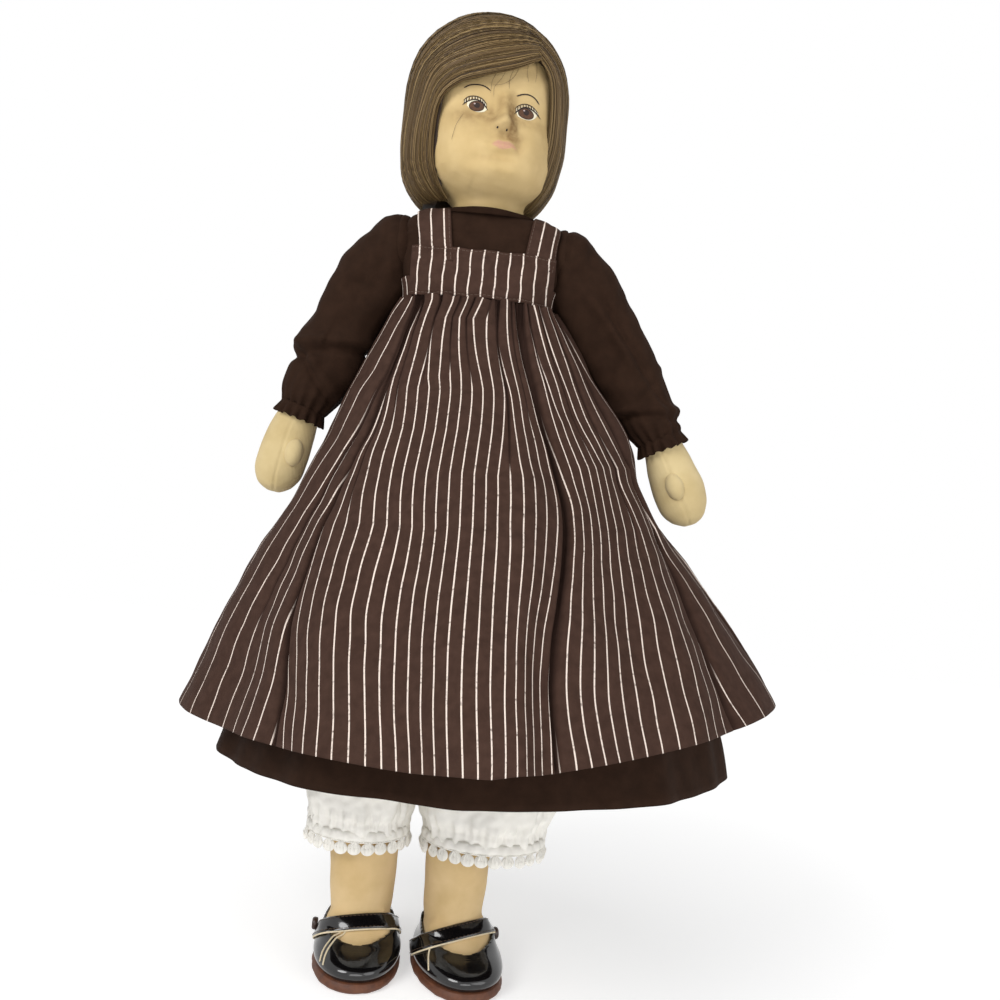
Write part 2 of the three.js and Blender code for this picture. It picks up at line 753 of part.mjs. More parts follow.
function leg_solid(side, grow = 0) {
  const at = [hip_middle, 0, hip_height];
  const thigh = solid_from(moved(turned(thigh_profile, side, body_facets), at));
  const leg = limb(leg_rows[side], limb_facets, grow).add(thigh);
  return leg.add(on_foot(foot_loft(grow), side));
}

// The shoe and the ankle together, grown by the layers that lie over them.
function strapped_foot(side, grow) {
  const shoe = on_foot(shoe_loft(upper_rings, grow).subtract(above_topline(grow)), side);
  const foot = on_foot(foot_loft(grow + fit), side);
  return shoe.add(foot).add(limb(leg_rows[side].slice(-4), limb_facets, grow + fit));
}

// The strap crosses the front of the ankle and comes down over the upper's edge on both sides.
function shoe_strap_solid(side) {
  const half_width = shoe_strap_width * half_share;
  const slab = block(everywhere, everywhere, [-half_width, half_width]);
  const leaned = slab.rotate([-shoe_strap_lean, 0, 0]).translate(shoe_strap_place);
  const front = block(everywhere, [shoe_strap_front, shoe_strap_back], [shoe_strap_bottom, far]);
  const band = strapped_foot(side, fit + cloth).subtract(strapped_foot(side, fit));
  return band.intersect(on_foot(leaned.intersect(front), side));
}

function shoe_button_solid(side) {
  const [reach, y, z] = shoe_button_place;
  const stud = moved(post(shoe_button_radius, fit, reach, side), [0, y, z]);
  return on_foot(solid_from(stud), side).subtract(strapped_foot(side, fit + cloth + fit));
}

function build_shoe(group, side, pivot) {
  const cavity = shoe_loft(inner_rings(upper_wall));
  const upper = shoe_loft(upper_rings).subtract(cavity).subtract(topline_cutter());
  place(group, `shoe_upper_${side}`, on_foot(upper, side), patent, pivot);
  place(group, `shoe_sole_${side}`, on_foot(shoe_loft(sole_rings), side), sole_leather, pivot);
  place(group, `insole_${side}`, on_foot(shoe_loft(insole_rings), side), lining, pivot);
  place(group, `shoe_strap_${side}`, shoe_strap_solid(side), patent, pivot);
  place(group, `shoe_button_${side}`, shoe_button_solid(side), button_shell, pivot);
}

// Legs and bloomers

function pelvis_clearance(radius) {
  const reach = hip_plane + fit;
  const geometry = post(radius, -reach, reach, 'left', body_facets);
  return solid_from(moved(geometry, [hip_middle, 0, hip_height]));
}

function bloomer_ring_wave(rings) {
  return rings.map((ring, row) => ring.map(([x, y, z], column) => {
    const share = row / (rings.length - 1);
    const [middle_x, middle_y] = middle_of(ring);
    const wave = 1 + (bloomer_wave * share * Math.cos(bloomer_waves * turn_at(column, ring.length)))
      / Math.hypot(x - middle_x, y - middle_y);
    return [middle_x + (x - middle_x) * wave, middle_y + (y - middle_y) * wave, z];
  }));
}

function bloomer_leg_solid(side) {
  const at = [hip_middle, 0, hip_height];
  const rows = bloomer_rows[side];
  const facets = bloomer_waves * bloomer_steps;
  const inner_rows = rows.map(([x, z, width, depth]) => [x, z, width - cloth, depth - cloth]);
  inner_rows[0][1] -= cloth;
  const [end] = inner_rows.slice(-1);
  inner_rows.push([end[0], end[1] - cloth - cloth, ...end.slice(2)]);
  const outer = loft(bloomer_ring_wave(limb_rings(rows, facets)));
  const inner = loft(bloomer_ring_wave(limb_rings(inner_rows, facets)));
  const outer_top = solid_from(moved(turned(bloomer_top_profile, side, body_facets), at));
  const inner_top = solid_from(moved(turned(bloomer_inner_profile, side, body_facets), at));
  const shell = outer.add(outer_top).subtract(inner.add(inner_top));
  return shell.subtract(pelvis_clearance(pelvis_radius));
}

function lace_solid(side) {
  const [[x, z, half_width, half_depth]] = bloomer_rows[side].slice(-1);
  const around = Math.PI * (half_width + half_depth);
  const scallops = Math.round(around / lace_pitch);
  const facets = scallops * lace_steps;
  const top = z - fit;
  const ringed = (inset) => [0, 1].map((share) => {
    const ring = [];
    for (let column = 0; column < facets; column += 1) {
      const turn = turn_at(column, facets);
      const dip = share === 1 ? lace_scallop * Math.abs(Math.cos(turn * scallops * half_share)) : 0;
      const height = top - share * (lace_drop - lace_scallop) - dip;
      const width = half_width - inset;
      ring.push([x + width * Math.cos(turn), (half_depth - inset) * Math.sin(turn), height]);
    }
    return ring;
  });
  return cloth_tube(ringed(0), ringed(cloth));
}

function build_leg(side) {
  const pivot = hip_pivots[side];
  const group = limb_group(pivot);
  const pocket = joint_pocket(hip_disc_radius, 1, side, pivot);
  const leg = leg_solid(side).subtract(pelvis_clearance(pelvis_radius)).subtract(pocket);
  place(group, `leg_${side}`, leg, leg_cloth, pivot);
  place(group, `bloomer_leg_${side}`, bloomer_leg_solid(side), white_cloth, pivot);
  place(group, `lace_${side}`, lace_solid(side), white_cloth, pivot);
  add_disc_joint(group, `hip_${side}`, pivot, side, hip_disc_radius);
  build_shoe(group, side, pivot);
}

function build_bloomer_seat() {
  let seat = torso_solid(fit + cloth).subtract(torso_solid(fit));
  seat = seat.intersect(block(everywhere, everywhere, [0, hip_height + torso_length * seat_rise_share]));
  for (const side of sides) {
    seat = seat.subtract(hip_clearance(side, pelvis_clearance_radius + fit, seat_half_width));
  }
  place(doll, 'bloomers_seat', seat, white_cloth);
}

// Skirts

function at_height(rings, height) {
  const upper = rings.findIndex((ring) => ring[0] <= height);
  if (upper <= 0) return rings[upper === 0 ? 0 : rings.length - 1];
  const [above, below] = [rings[upper - 1], rings[upper]];
  const share = (above[0] - height) / (above[0] - below[0]);
  return above.map((value, index) => value + (below[index] - value) * share);
}

function skirt_point(rings, folds, turn, height, drop_share, inset) {
  const [, right, left, front, back, squareness] = at_height(rings, height);
  const depth_share = folds.start_share + (1 - folds.start_share) * drop_share;
  const fold = folds.waves.reduce((sum, waves, index) => {
    return sum + folds.depths[index] * depth_share * Math.cos(waves * turn + folds.phases[index]);
  }, 0);
  const middle = (left + right) * half_share;
  const half_width = (left - right) * half_share - inset + fold;
  const depth = (Math.sin(turn) < 0 ? -front : back) - inset + fold;
  const x = middle + half_width * power(Math.cos(turn), 2 / squareness);
  return [x, depth * power(Math.sin(turn), 2 / squareness), height];
}

function skirt_surface(rings, folds, hem, inset) {
  const top = rings[0][0];
  const surface = [];
  for (let row = 0; row <= skirt_rows; row += 1) {
    const drop_share = row / skirt_rows;
    const ring = [];
    for (let column = 0; column < skirt_columns; column += 1) {
      const turn = turn_at(column, skirt_columns);
      const [hem_x] = skirt_point(rings, folds, turn, hem.height, 1, inset);
      const hem_height = hem.height + (hem_x - hem_middle) * hem.slope_share;
      const height = top + (hem_height - top) * drop_share;
      ring.push(skirt_point(rings, folds, turn, height, drop_share, inset));
    }
    surface.push(ring);
  }
  return surface;
}

function skirt_rings(shares, plans) {
  return plans.map((plan, index) => [waist_height * shares[index], ...plan]);
}

function build_skirts() {
  const pinafore_hem = { height: pinafore_hem_height, slope_share: hem_slope_share };
  const dress_hem = { height: dress_hem_height, slope_share: dress_hem_slope_share };
  const pinafore_rings = skirt_rings(pinafore_height_shares, pinafore_plans);
  const dress_rings = skirt_rings(dress_height_shares, dress_plans);
  const skirt = (...shape) => cloth_tube(...[0, cloth].map((inset) => skirt_surface(...shape, inset)));
  place(doll, 'pinafore_skirt', skirt(pinafore_rings, pinafore_folds, pinafore_hem), pinafore_cloth);
  place(doll, 'dress_skirt', skirt(dress_rings, dress_folds, dress_hem), dress_cloth);
}

// Bodice and the pinafore's upper part

const bodice_layers = [fit, fit + cloth];
const pinafore_layers = [fit + cloth + fit, fit + cloth + fit + cloth];

function chest_shell([inner, outer]) {
  return chest(outer).subtract(chest(inner));
}

function build_bodice() {
  const foot = neck_base[2] - collar_root;
  const top = neck_base[2] + collar_height;
  const at_neck = (geometry) => solid_from(moved(geometry, [neck_base[0], neck_base[1], 0]));
  const ring = at_neck(post(collar_radius + cloth, foot, top, 'up', body_facets));
  const neck = at_neck(post(collar_radius, waist_height, far, 'up', body_facets));
  let bodice = chest(bodice_layers[1]).add(ring).subtract(chest(bodice_layers[0])).subtract(neck);
  bodice = bodice.intersect(block(everywhere, everywhere, [waist_height + fit, far]));
  for (const side of sides) {
    const hole = post(armhole_radius, shoulder_plane - armhole_depth, far, side, body_facets);
    bodice = bodice.subtract(solid_from(moved(hole, [0, 0, shoulder_height])));
  }
  place(doll, 'dress_bodice', bodice, dress_cloth);
}

function build_pinafore_top() {
  const layer = chest_shell(pinafore_layers);
  const front = block([-bib_right_reach, bib_left_reach], [-far, -band_start], [bib_bottom, bib_top]);
  place(doll, 'pinafore_bib', layer.intersect(front), pinafore_cloth);
  const bib_ends = [-bib_right_reach - fit, bib_left_reach + fit];
  const bib_room = block(bib_ends, [-far, fit - band_start], everywhere);
  const around = layer.intersect(block(everywhere, everywhere, [bib_bottom, bib_bottom + band_height]));
  const half_gap = back_gap * half_share;
  const halves = { right: [-far, -half_gap], left: [half_gap, far] };
  for (const side of sides) {
    const half = around.intersect(block(halves[side], everywhere, everywhere));
    place(doll, `pinafore_band_${side}`, half.subtract(bib_room), pinafore_cloth);
    const [[low_start, high_start], [low_end, high_end]] = strap_edges[side];
    const bottom = [[low_start, strap_bottom], [low_end, strap_bottom]];
    const outline = [...bottom, [high_end, strap_top], [high_start, strap_top]];
    const run = layer.intersect(prism(outline, everywhere));
    place(doll, `pinafore_strap_${side}`, run, pinafore_cloth);
  }
}

// Flat round buttons down the middle of the back.
function back_button(height, layer) {
  const [, , , back] = at_height([...torso_rings].reverse(), height);
  const seat = back + layer + fit;
  const button = post(button_radius, 0, button_thickness, 'up').rotateX(-Math.PI * half_share);
  return solid_from(moved(button, [0, seat, height]));
}

function build_buttons() {
  const band_middle = bib_bottom + band_height * half_share;
  const pinafore_button = back_button(band_middle, pinafore_layers[1]);
  place(doll, 'pinafore_button', pinafore_button, button_shell);
  dress_button_rises.forEach((rise, index) => {
    const button = back_button(shoulder_height + rise, bodice_layers[1]);
    place(doll, `dress_button_${index + 1}`, button, button_shell);
  });
}

build_torso();
build_head();
for (const side of sides) {
  build_arm(side);
  build_leg(side);
}
build_bloomer_seat();
build_skirts();
build_bodice();
build_pinafore_top();
build_buttons();

export default doll;
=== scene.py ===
# Looks of a jointed cloth doll in a striped pinafore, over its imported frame.
# Shapes are worked out in millimetres in the doll's own place and put into the row frame in metres.

import math

import bpy
import numpy as np
from mathutils import Matrix, Vector
from mathutils.bvhtree import BVHTree


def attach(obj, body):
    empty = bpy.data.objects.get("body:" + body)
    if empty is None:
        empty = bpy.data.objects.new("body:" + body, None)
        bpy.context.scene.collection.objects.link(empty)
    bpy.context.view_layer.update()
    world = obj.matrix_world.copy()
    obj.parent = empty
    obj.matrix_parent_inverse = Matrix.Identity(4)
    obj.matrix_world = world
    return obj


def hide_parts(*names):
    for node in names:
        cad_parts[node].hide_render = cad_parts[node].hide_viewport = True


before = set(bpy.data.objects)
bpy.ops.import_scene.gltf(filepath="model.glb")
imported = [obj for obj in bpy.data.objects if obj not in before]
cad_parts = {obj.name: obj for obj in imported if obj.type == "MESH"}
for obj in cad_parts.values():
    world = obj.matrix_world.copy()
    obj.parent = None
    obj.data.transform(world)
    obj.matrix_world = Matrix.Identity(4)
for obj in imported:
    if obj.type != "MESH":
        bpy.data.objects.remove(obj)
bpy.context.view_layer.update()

# The doll's own middle line stands here in the row frame, in millimetres
doll_middle = np.array([-21.0, 17.0, 0.0])
millimetre = 0.001
# Which way each side of the doll lies along X
side_signs = {"right": -1, "left": 1}

# Pinstripes of the pinafore's cloth
stripe_pitch = 6.35
stripe_width = 0.7

# Helpers for shapes


def to_row(points):
    return (np.asarray(points, float) + doll_middle) * millimetre


def curve_through(knots, values, at):
    """Values at `at` on a smooth curve through a table whose knots rise."""
    knots, values = np.asarray(knots, float), np.asarray(values, float)
    at = np.asarray(at, float)
    step = np.diff(knots)
    slope = np.diff(values, axis=0) / step[:, None]
    tangent = np.empty_like(values)
    inner = slope[:-1] * step[1:, None] + slope[1:] * step[:-1, None]
    tangent[1:-1] = inner / (step[:-1] + step[1:])[:, None]
    tangent[0], tangent[-1] = slope[0], slope[-1]
    cell = np.clip(np.searchsorted(knots, at, side="right") - 1, 0, len(knots) - 2)
    width = step[cell][:, None]
    t = (at - knots[cell])[:, None] / width
    start, end = values[cell], values[cell + 1]
    leave, arrive = tangent[cell] * width, tangent[cell + 1] * width
    return (
        (2 * t**3 - 3 * t**2 + 1) * start
        + (t**3 - 2 * t**2 + t) * leave
        + (3 * t**2 - 2 * t**3) * end
        + (t**3 - t**2) * arrive
    )


def signed_power(value, exponent):
    return np.sign(value) * np.abs(value) ** exponent


def even_turns(count):
    """Angles spaced evenly round a circle."""
    return 2 * math.pi * np.arange(count) / count


def rotated(x, y, angle):
    """Places in a plane, turned about its origin."""
    return x * math.cos(angle) - y * math.sin(angle), x * math.sin(angle) + y * math.cos(angle)


def lengths_along(path):
    """How far along a path each of its points lies."""
    return np.concatenate([[0], np.cumsum(np.linalg.norm(np.diff(path, axis=0), axis=1))])


def unit(vectors, guard=0.0):
    """Vectors made 1 long; the guard keeps one that has no length from dividing by 0."""
    return vectors / (np.linalg.norm(vectors, axis=-1, keepdims=True) + guard)


def grid_faces(rows, columns, closed=False, first=0):
    """Faces of a grid of points stored row by row."""
    faces = []
    for row in range(rows - 1):
        for column in range(columns if closed else columns - 1):
            a = first + row * columns + column
            b = first + row * columns + (column + 1) % columns
            faces.append((a, b, b + columns, a + columns))
    return faces


def make_piece(name, points, faces, finish, body, stands_for=(), slot=None, uv=None, marks=None):
    """A smooth mesh from points in the doll's own place, riding on a body of the frame.

    Its slot, named like its finish where no other is given, is not used.
    """
    mesh = bpy.data.meshes.new(name)
    mesh.from_pydata(to_row(points).tolist(), [], faces)
    mesh.polygons.foreach_set("use_smooth", [True] * len(mesh.polygons))
    if uv is not None:
        layer = mesh.uv_layers.new(name="cloth")
        corners = np.zeros(len(mesh.loops), np.int32)
        mesh.loops.foreach_get("vertex_index", corners)
        layer.data.foreach_set("uv", np.asarray(uv, np.float32)[corners].ravel())
    for mark, values in (marks or {}).items():
        attribute = mesh.attributes.new(mark, "FLOAT", "POINT")
        attribute.data.foreach_set("value", np.asarray(values, np.float32).ravel())
    mesh.materials.append(finishes[finish])
    mesh.update()
    piece = bpy.data.objects.new(name, mesh)
    bpy.context.scene.collection.objects.link(piece)
    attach(piece, body)
    if stands_for:
        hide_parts(*stands_for)
    slot = slot or finish


# Materials


def linear(*channels):
    """Linear colour from the 0 to 255 values that are seen."""
    found = []
    for value in channels:
        share = value / 255
        found.append(share / 12.92 if share <= 0.04045 else ((share + 0.055) / 1.055) ** 2.4)
    return (*found, 1.0)


class Nodes:
    """A material's node tree, with short ways to add to it."""

    def __init__(self, name):
        self.material = bpy.data.materials.new(name)
        self.material.use_nodes = True
        self.tree = self.material.node_tree
        self.shader = self.tree.nodes["Principled BSDF"]

    def add(self, kind, **values):
        node = self.tree.nodes.new(kind)
        for key, value in values.items():
            setattr(node, key, value)
        return node

    def join(self, out_socket, in_socket):
        self.tree.links.new(out_socket, in_socket)

    def set(self, **values):
        names = {
            "color": "Base Color",
            "roughness": "Roughness",
            "metallic": "Metallic",
            "sheen": "Sheen Weight",
            "sheen_roughness": "Sheen Roughness",
            "coat": "Coat Weight",
            "coat_roughness": "Coat Roughness",
            "specular": "Specular IOR Level",
        }
        for key, value in values.items():
            self.shader.inputs[names[key]].default_value = value
        return self

    def place(self):
        """Position in the piece, in metres."""
        return self.add("ShaderNodeTexCoord").outputs["Object"]

    def noise(self, scale, detail):
        node = self.add("ShaderNodeTexNoise")
        node.inputs["Scale"].default_value = scale
        node.inputs["Detail"].default_value = detail
        self.join(self.place(), node.inputs["Vector"])
        return node.outputs["Fac"]

    def mark(self, name):
        """A number that the piece's points carry."""
        return self.add("ShaderNodeAttribute", attribute_name=name).outputs["Fac"]

    def math(self, operation, a, b=None):
        node = self.add("ShaderNodeMath", operation=operation)
        for socket, value in zip(node.inputs, (a, b)):
            if value is None:
                continue
            if isinstance(value, (int, float)):
                socket.default_value = value
            else:
                self.join(value, socket)
        return node.outputs[0]

    def between(self, share, start, end):
        """Colour from start to end as share goes from 0 to 1."""
        node = self.add("ShaderNodeMix", data_type="RGBA")
        self.join(share, node.inputs["Factor"])
        for socket, value in ((node.inputs["A"], start), (node.inputs["B"], end)):
            if isinstance(value, tuple):
                socket.default_value = value
            else:
                self.join(value, socket)
        return node.outputs["Result"]

    def spread(self, value, low, high):
        """Value stretched so that low becomes 0 and high becomes 1, kept within them."""
        node = self.add("ShaderNodeMapRange")
        node.inputs["From Min"].default_value = low
        node.inputs["From Max"].default_value = high
        self.join(value, node.inputs["Value"])
        return node.outputs["Result"]

    def mottled(self, scale, detail, color, shade):
        """Colour that wanders softly from color to shade."""
        share = self.spread(self.noise(scale, detail), 0.3, 0.7)
        return self.between(share, linear(*color), linear(*shade))

    def color(self, socket):
        self.join(socket, self.shader.inputs["Base Color"])
        return self

    def bump(self, height, strength, distance):
        node = self.add("ShaderNodeBump")
        node.inputs["Strength"].default_value = strength
        node.inputs["Distance"].default_value = distance
        self.join(height, node.inputs["Height"])
        self.join(node.outputs["Normal"], self.shader.inputs["Normal"])
        return self

    def weave(self, pitch):
        """Height of a plain weave with threads this far apart, in millimetres."""
        threads = []
        for direction in ("X", "Z"):
            wave = self.add("ShaderNodeTexWave", wave_type="BANDS", bands_direction=direction)
            wave.inputs["Scale"].default_value = 1 / (pitch * millimetre * 3.2)
            wave.inputs["Distortion"].default_value = 0.6
            self.join(self.place(), wave.inputs["Vector"])
            threads.append(wave.outputs["Fac"])
        return self.math("MAXIMUM", *threads)


def cloth_material(name, color, shade):
    """Woven cloth whose colour wanders softly from color to shade."""
    nodes = Nodes(name).set(roughness=0.9, specular=0.08)
    nodes.color(nodes.mottled(160, 4, color, shade))
    return nodes.bump(nodes.weave(0.5), 0.25, 0.0002).material


def striped_material(name, ground, shade, stripe, painted_fold_shade):
    """Cloth with pinstripes along its length; the first map coordinate is in millimetres."""
    nodes = Nodes(name).set(roughness=0.88, specular=0.08)
    ground_color = nodes.mottled(220, 4, ground, shade)
    across = nodes.add("ShaderNodeSeparateXYZ")
    nodes.join(nodes.add("ShaderNodeUVMap", uv_map="cloth").outputs["UV"], across.inputs[0])
    turn = nodes.math("DIVIDE", across.outputs["X"], stripe_pitch)
    off = nodes.math("ABSOLUTE", nodes.math("SUBTRACT", nodes.math("FRACT", turn), 0.5))
    off = nodes.math("MULTIPLY", off, nodes.math("ADD", nodes.mark("spread"), 1.0))
    share = nodes.spread(off, 0.56 * stripe_width / stripe_pitch, 0.44 * stripe_width / stripe_pitch)
    # Painted shade in the folds: the inside mark darkens the cloth where it lies deep in a fold and drops its
    # stripes there
    inside = nodes.spread(nodes.mark("inside"), 0.25, 0.75)
    share = nodes.math("MULTIPLY", share, nodes.math("SUBTRACT", 1.0, inside))
    dark = nodes.math("MULTIPLY", inside, 0.55)
    ground_color = nodes.between(dark, ground_color, linear(*painted_fold_shade))
    worn = nodes.math("MULTIPLY", share, nodes.spread(nodes.noise(700, 3), 0.2, 0.45))
    nodes.color(nodes.between(worn, ground_color, linear(*stripe)))
    return nodes.bump(nodes.weave(0.45), 0.25, 0.0002).material


def knit_material(name, color, shade):
    """Fine cotton knit, a little darker and redder in patches."""
    nodes = Nodes(name).set(roughness=0.95, sheen=0.15, sheen_roughness=0.6, specular=0.1)
    nodes.color(nodes.mottled(60, 5, color, shade))
    return nodes.bump(nodes.weave(0.6), 0.35, 0.00025).material


def face_material(name, color, shade, painted_shade_color, lips):
    """Painted cotton with painted shade and painted lips mixed into it, by the marks on its points."""
    nodes = Nodes(name).set(roughness=0.8, specular=0.12)
    cotton = nodes.mottled(70, 5, color, shade)
    # Painted shade: the shade mark, broken up by a mottle, darkens the cotton towards a brown
    mottle = nodes.spread(nodes.noise(260, 3), 0.1, 0.6)
    painted_shade_share = nodes.math("MULTIPLY", nodes.mark("shade"), mottle)
    shaded_cotton = nodes.between(painted_shade_share, cotton, linear(*painted_shade_color))
    lip = nodes.math("MULTIPLY", nodes.mark("lips"), nodes.spread(nodes.noise(900, 2), -0.3, 0.9))
    nodes.color(nodes.between(lip, shaded_cotton, linear(*lips)))
    return nodes.bump(nodes.weave(0.4), 0.22, 0.0002).material


def strand_material(name, dark, middle, light):
    """Fine hair whose strands differ in tone."""
    nodes = Nodes(name).set(roughness=0.5, specular=0.28)
    tone = nodes.mark("tone")
    low_half = nodes.between(nodes.spread(tone, 0.0, 0.45), linear(*dark), linear(*middle))
    nodes.color(nodes.between(nodes.spread(tone, 0.45, 1.0), low_half, linear(*light)))
    return nodes.bump(nodes.noise(2500, 2), 0.1, 0.0001).material


def patent_material(name, color):
    nodes = Nodes(name).set(roughness=0.14, specular=0.35, coat=0.6, coat_roughness=0.03)
    nodes.set(color=linear(*color))
    return nodes.bump(nodes.noise(60, 2), 0.06, 0.0006).material


def plain_material(name, color, shade, roughness, scale=300, metallic=0.0):
    nodes = Nodes(name).set(roughness=roughness, metallic=metallic)
    nodes.color(nodes.mottled(scale, 4, color, shade))
    return nodes.bump(nodes.noise(scale * 4, 2), 0.15, 0.0002).material


finishes = {
    "skin_cloth": knit_material("skin_cloth", (214, 194, 147), (196, 174, 126)),
    "leg_cloth": knit_material("leg_cloth", (217, 189, 142), (199, 170, 120)),
    "dress_cloth": cloth_material("dress_cloth", (48, 32, 23), (40, 26, 18)),
    "white_cotton": cloth_material("white_cotton", (246, 243, 236), (234, 231, 223)),
    # The pinafore's last colour is painted shade for the insides of its folds
    "pinafore_cloth": striped_material(
        "pinafore_cloth", (70, 51, 43), (59, 42, 35), (232, 216, 204), (38, 25, 21)
    ),
    "patent": patent_material("patent", (12, 11, 12)),
    # The face's fourth colour is painted shade, the fifth its painted lips
    "face_cloth": face_material(
        "face_cloth", (210, 184, 134), (196, 169, 118), (142, 114, 76), (198, 146, 130)
    ),
    "hair_strands": strand_material("hair_strands", (46, 33, 20), (102, 80, 48), (170, 144, 98)),
}
# Colour, shade, roughness, and where they differ from the usual the mottle's scale and the metal
plain_finishes = {
    "hair": ((105, 82, 55), (70, 52, 34), 0.5),
    "hair_cap": ((62, 46, 30), (40, 29, 18), 0.7, 900),
    "sole": ((98, 54, 28), (72, 38, 20), 0.6),
    "lining": ((190, 160, 120), (170, 138, 98), 0.85),
    "hardboard": ((139, 107, 71), (112, 84, 54), 0.9),
    "steel": ((190, 192, 195), (160, 162, 165), 0.35, 300, 1.0),
    "button": ((60, 40, 32), (48, 32, 26), 0.35),
    "white_paint": ((236, 230, 206), (224, 216, 188), 0.8, 900),
    "brown_paint": ((94, 62, 40), (70, 44, 28), 0.8, 900),
    "black_paint": ((46, 32, 27), (32, 21, 18), 0.85, 900),
    "light_paint": ((178, 160, 158), (160, 140, 138), 0.3, 900),
    "cream_thread": ((226, 212, 184), (204, 188, 156), 0.8, 1500),
    "brown_thread": ((104, 84, 72), (84, 66, 56), 0.8, 1500),
    "dark_thread": ((78, 58, 40), (58, 42, 28), 0.8, 1500),
}
for name, values in plain_finishes.items():
    finishes[name] = plain_material(name, *values)

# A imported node's slot goes by the first of these words that its name holds; the last fits any name
slot_rules = [
    ("disc", "hardboard"), ("washer", "steel"), ("_pin", "steel"), ("button", "button"),
    ("lace", "white_cotton"), ("bloomer", "white_cotton"), ("shoe_sole", "sole"), ("shoe", "patent"),
    ("insole", "lining"), ("pinafore", "pinafore_cloth"), ("dress", "dress_cloth"),
    ("sleeve", "dress_cloth"), ("ruffle", "dress_cloth"), ("wig", "hair"), ("leg_", "leg_cloth"),
    ("", "skin_cloth"),
]


def finish_frame():
    """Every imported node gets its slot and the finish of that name."""
    for name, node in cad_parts.items():
        slot = next(slot for part, slot in slot_rules if part in name)
        node.data.materials.clear()
        node.data.materials.append(finishes[slot])


# Shape tools


class Ripple:
    """Smooth seeded unevenness of about 1 either way: waves that run in many directions."""

    def __init__(self, seed, length, stretch=(1, 1, 1)):
        waves = 14
        chance = np.random.default_rng(seed)
        direction = unit(chance.normal(size=(waves, 3)))
        spacing = length * chance.uniform(0.6, 1.7, (waves, 1))
        self.wave = 2 * math.pi * direction / spacing * np.array(stretch)
        self.phase = chance.uniform(0, 2 * math.pi, waves)

    def __call__(self, points):
        flat = np.asarray(points, float).reshape(-1, 3)
        found = np.sin(flat @ self.wave.T + self.phase).sum(1) / math.sqrt(len(self.phase) / 2)
        return found.reshape(np.asarray(points).shape[:-1])


def bell(value, middle, width):
    return np.exp(-(((value - middle) / width) ** 2))


def outward(grid, closed=True):
    """Unit vectors out of a grid whose columns run round it and whose rows run down."""
    if closed:
        along = np.roll(grid, -1, axis=1) - np.roll(grid, 1, axis=1)
    else:
        along = np.gradient(grid, axis=1)
    normal = np.cross(np.gradient(grid, axis=0), along)
    length = np.linalg.norm(normal, axis=2, keepdims=True)
    return normal / np.maximum(length, 1e-9)


def open_shell(grid, closed=True):
    """Points and faces of a grid whose ends stay open."""
    return grid.reshape(-1, 3), grid_faces(*grid.shape[:2], closed=closed)


def joined(shells):
    """Points and faces of several shells as one."""
    points, faces = [], []
    for shell_points, shell_faces in shells:
        first = len(points)
        points.extend(np.asarray(shell_points).tolist())
        faces.extend(tuple(index + first for index in face) for face in shell_faces)
    return np.array(points), faces


def closed_shell(grid):
    """Points and faces of a grid that is closed round, with both ends filled."""
    rows, columns = grid.shape[:2]
    points = [*grid.reshape(-1, 3), grid[0].mean(0), grid[-1].mean(0)]
    faces = grid_faces(rows, columns, closed=True)
    first_end, last_end = rows * columns, rows * columns + 1
    last = (rows - 1) * columns
    for column in range(columns):
        after = (column + 1) % columns
        faces.append((first_end, after, column))
        faces.append((last_end, last + column, last + after))
    return np.array(points), faces


def cloth_shell(grid, thickness, closed=True):
    """A grid made into cloth of this thickness, with soft edges."""
    rows, columns = grid.shape[:2]
    share = np.ones((rows, columns))
    share[0] = share[-1] = 0.4
    if not closed:
        share[:, 0] = share[:, -1] = 0.4
    offset = outward(grid, closed) * (share * thickness / 2)[..., None]
    outer, inner = grid + offset, grid - offset
    count = rows * columns
    faces = grid_faces(rows, columns, closed)
    faces += [tuple(reversed(face)) for face in grid_faces(rows, columns, closed, count)]
    for column in range(columns if closed else columns - 1):
        after = (column + 1) % columns
        low, last = count, (rows - 1) * columns
        faces.append((after, column, low + column, low + after))
        faces.append((last + column, last + after, low + last + after, low + last + column))
    if not closed:
        for row in range(rows - 1):
            a, b = row * columns, (row + 1) * columns
            faces.append((a, b, count + b, count + a))
            a, b = a + columns - 1, b + columns - 1
            faces.append((b, a, count + a, count + b))
    return np.concatenate([outer.reshape(-1, 3), inner.reshape(-1, 3)]), faces


def mesh_points(mesh):
    points = np.zeros(len(mesh.vertices) * 3)
    mesh.vertices.foreach_get("co", points)
    return points.reshape(-1, 3)


def mesh_faces(mesh):
    return [tuple(polygon.vertices) for polygon in mesh.polygons]


def worked(shells, add_steps):
    """Shells joined in one mesh, put through modifiers, as points, faces and normals."""
    points, faces = joined(shells)
    mesh = bpy.data.meshes.new("raw")
    mesh.from_pydata(points.tolist(), [], faces)
    raw = bpy.data.objects.new("raw", mesh)
    bpy.context.scene.collection.objects.link(raw)
    add_steps(raw)
    done = raw.evaluated_get(bpy.context.evaluated_depsgraph_get())
    found = done.to_mesh()
    normals = np.zeros(len(found.vertices) * 3)
    found.vertex_normals.foreach_get("vector", normals)
    result = mesh_points(found), mesh_faces(found), normals.reshape(-1, 3)
    done.to_mesh_clear()
    bpy.data.objects.remove(raw)
    bpy.data.meshes.remove(mesh)
    return result


def add_softening(raw, voxel, rounds):
    remesh = raw.modifiers.new("fuse", "REMESH")
    remesh.mode = "VOXEL"
    remesh.voxel_size = voxel
    soften = raw.modifiers.new("soften", "SMOOTH")
    soften.factor = 0.5
    soften.iterations = rounds


def fused(shells, voxel, rounds):
    """Overlapping closed shells grown together into one soft surface."""
    return worked(shells, lambda raw: add_softening(raw, voxel, rounds))


def node_shell(name):
    """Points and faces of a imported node, in the doll's own place in millimetres."""
    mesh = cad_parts[name].data
    return mesh_points(mesh) / millimetre - doll_middle, mesh_faces(mesh)


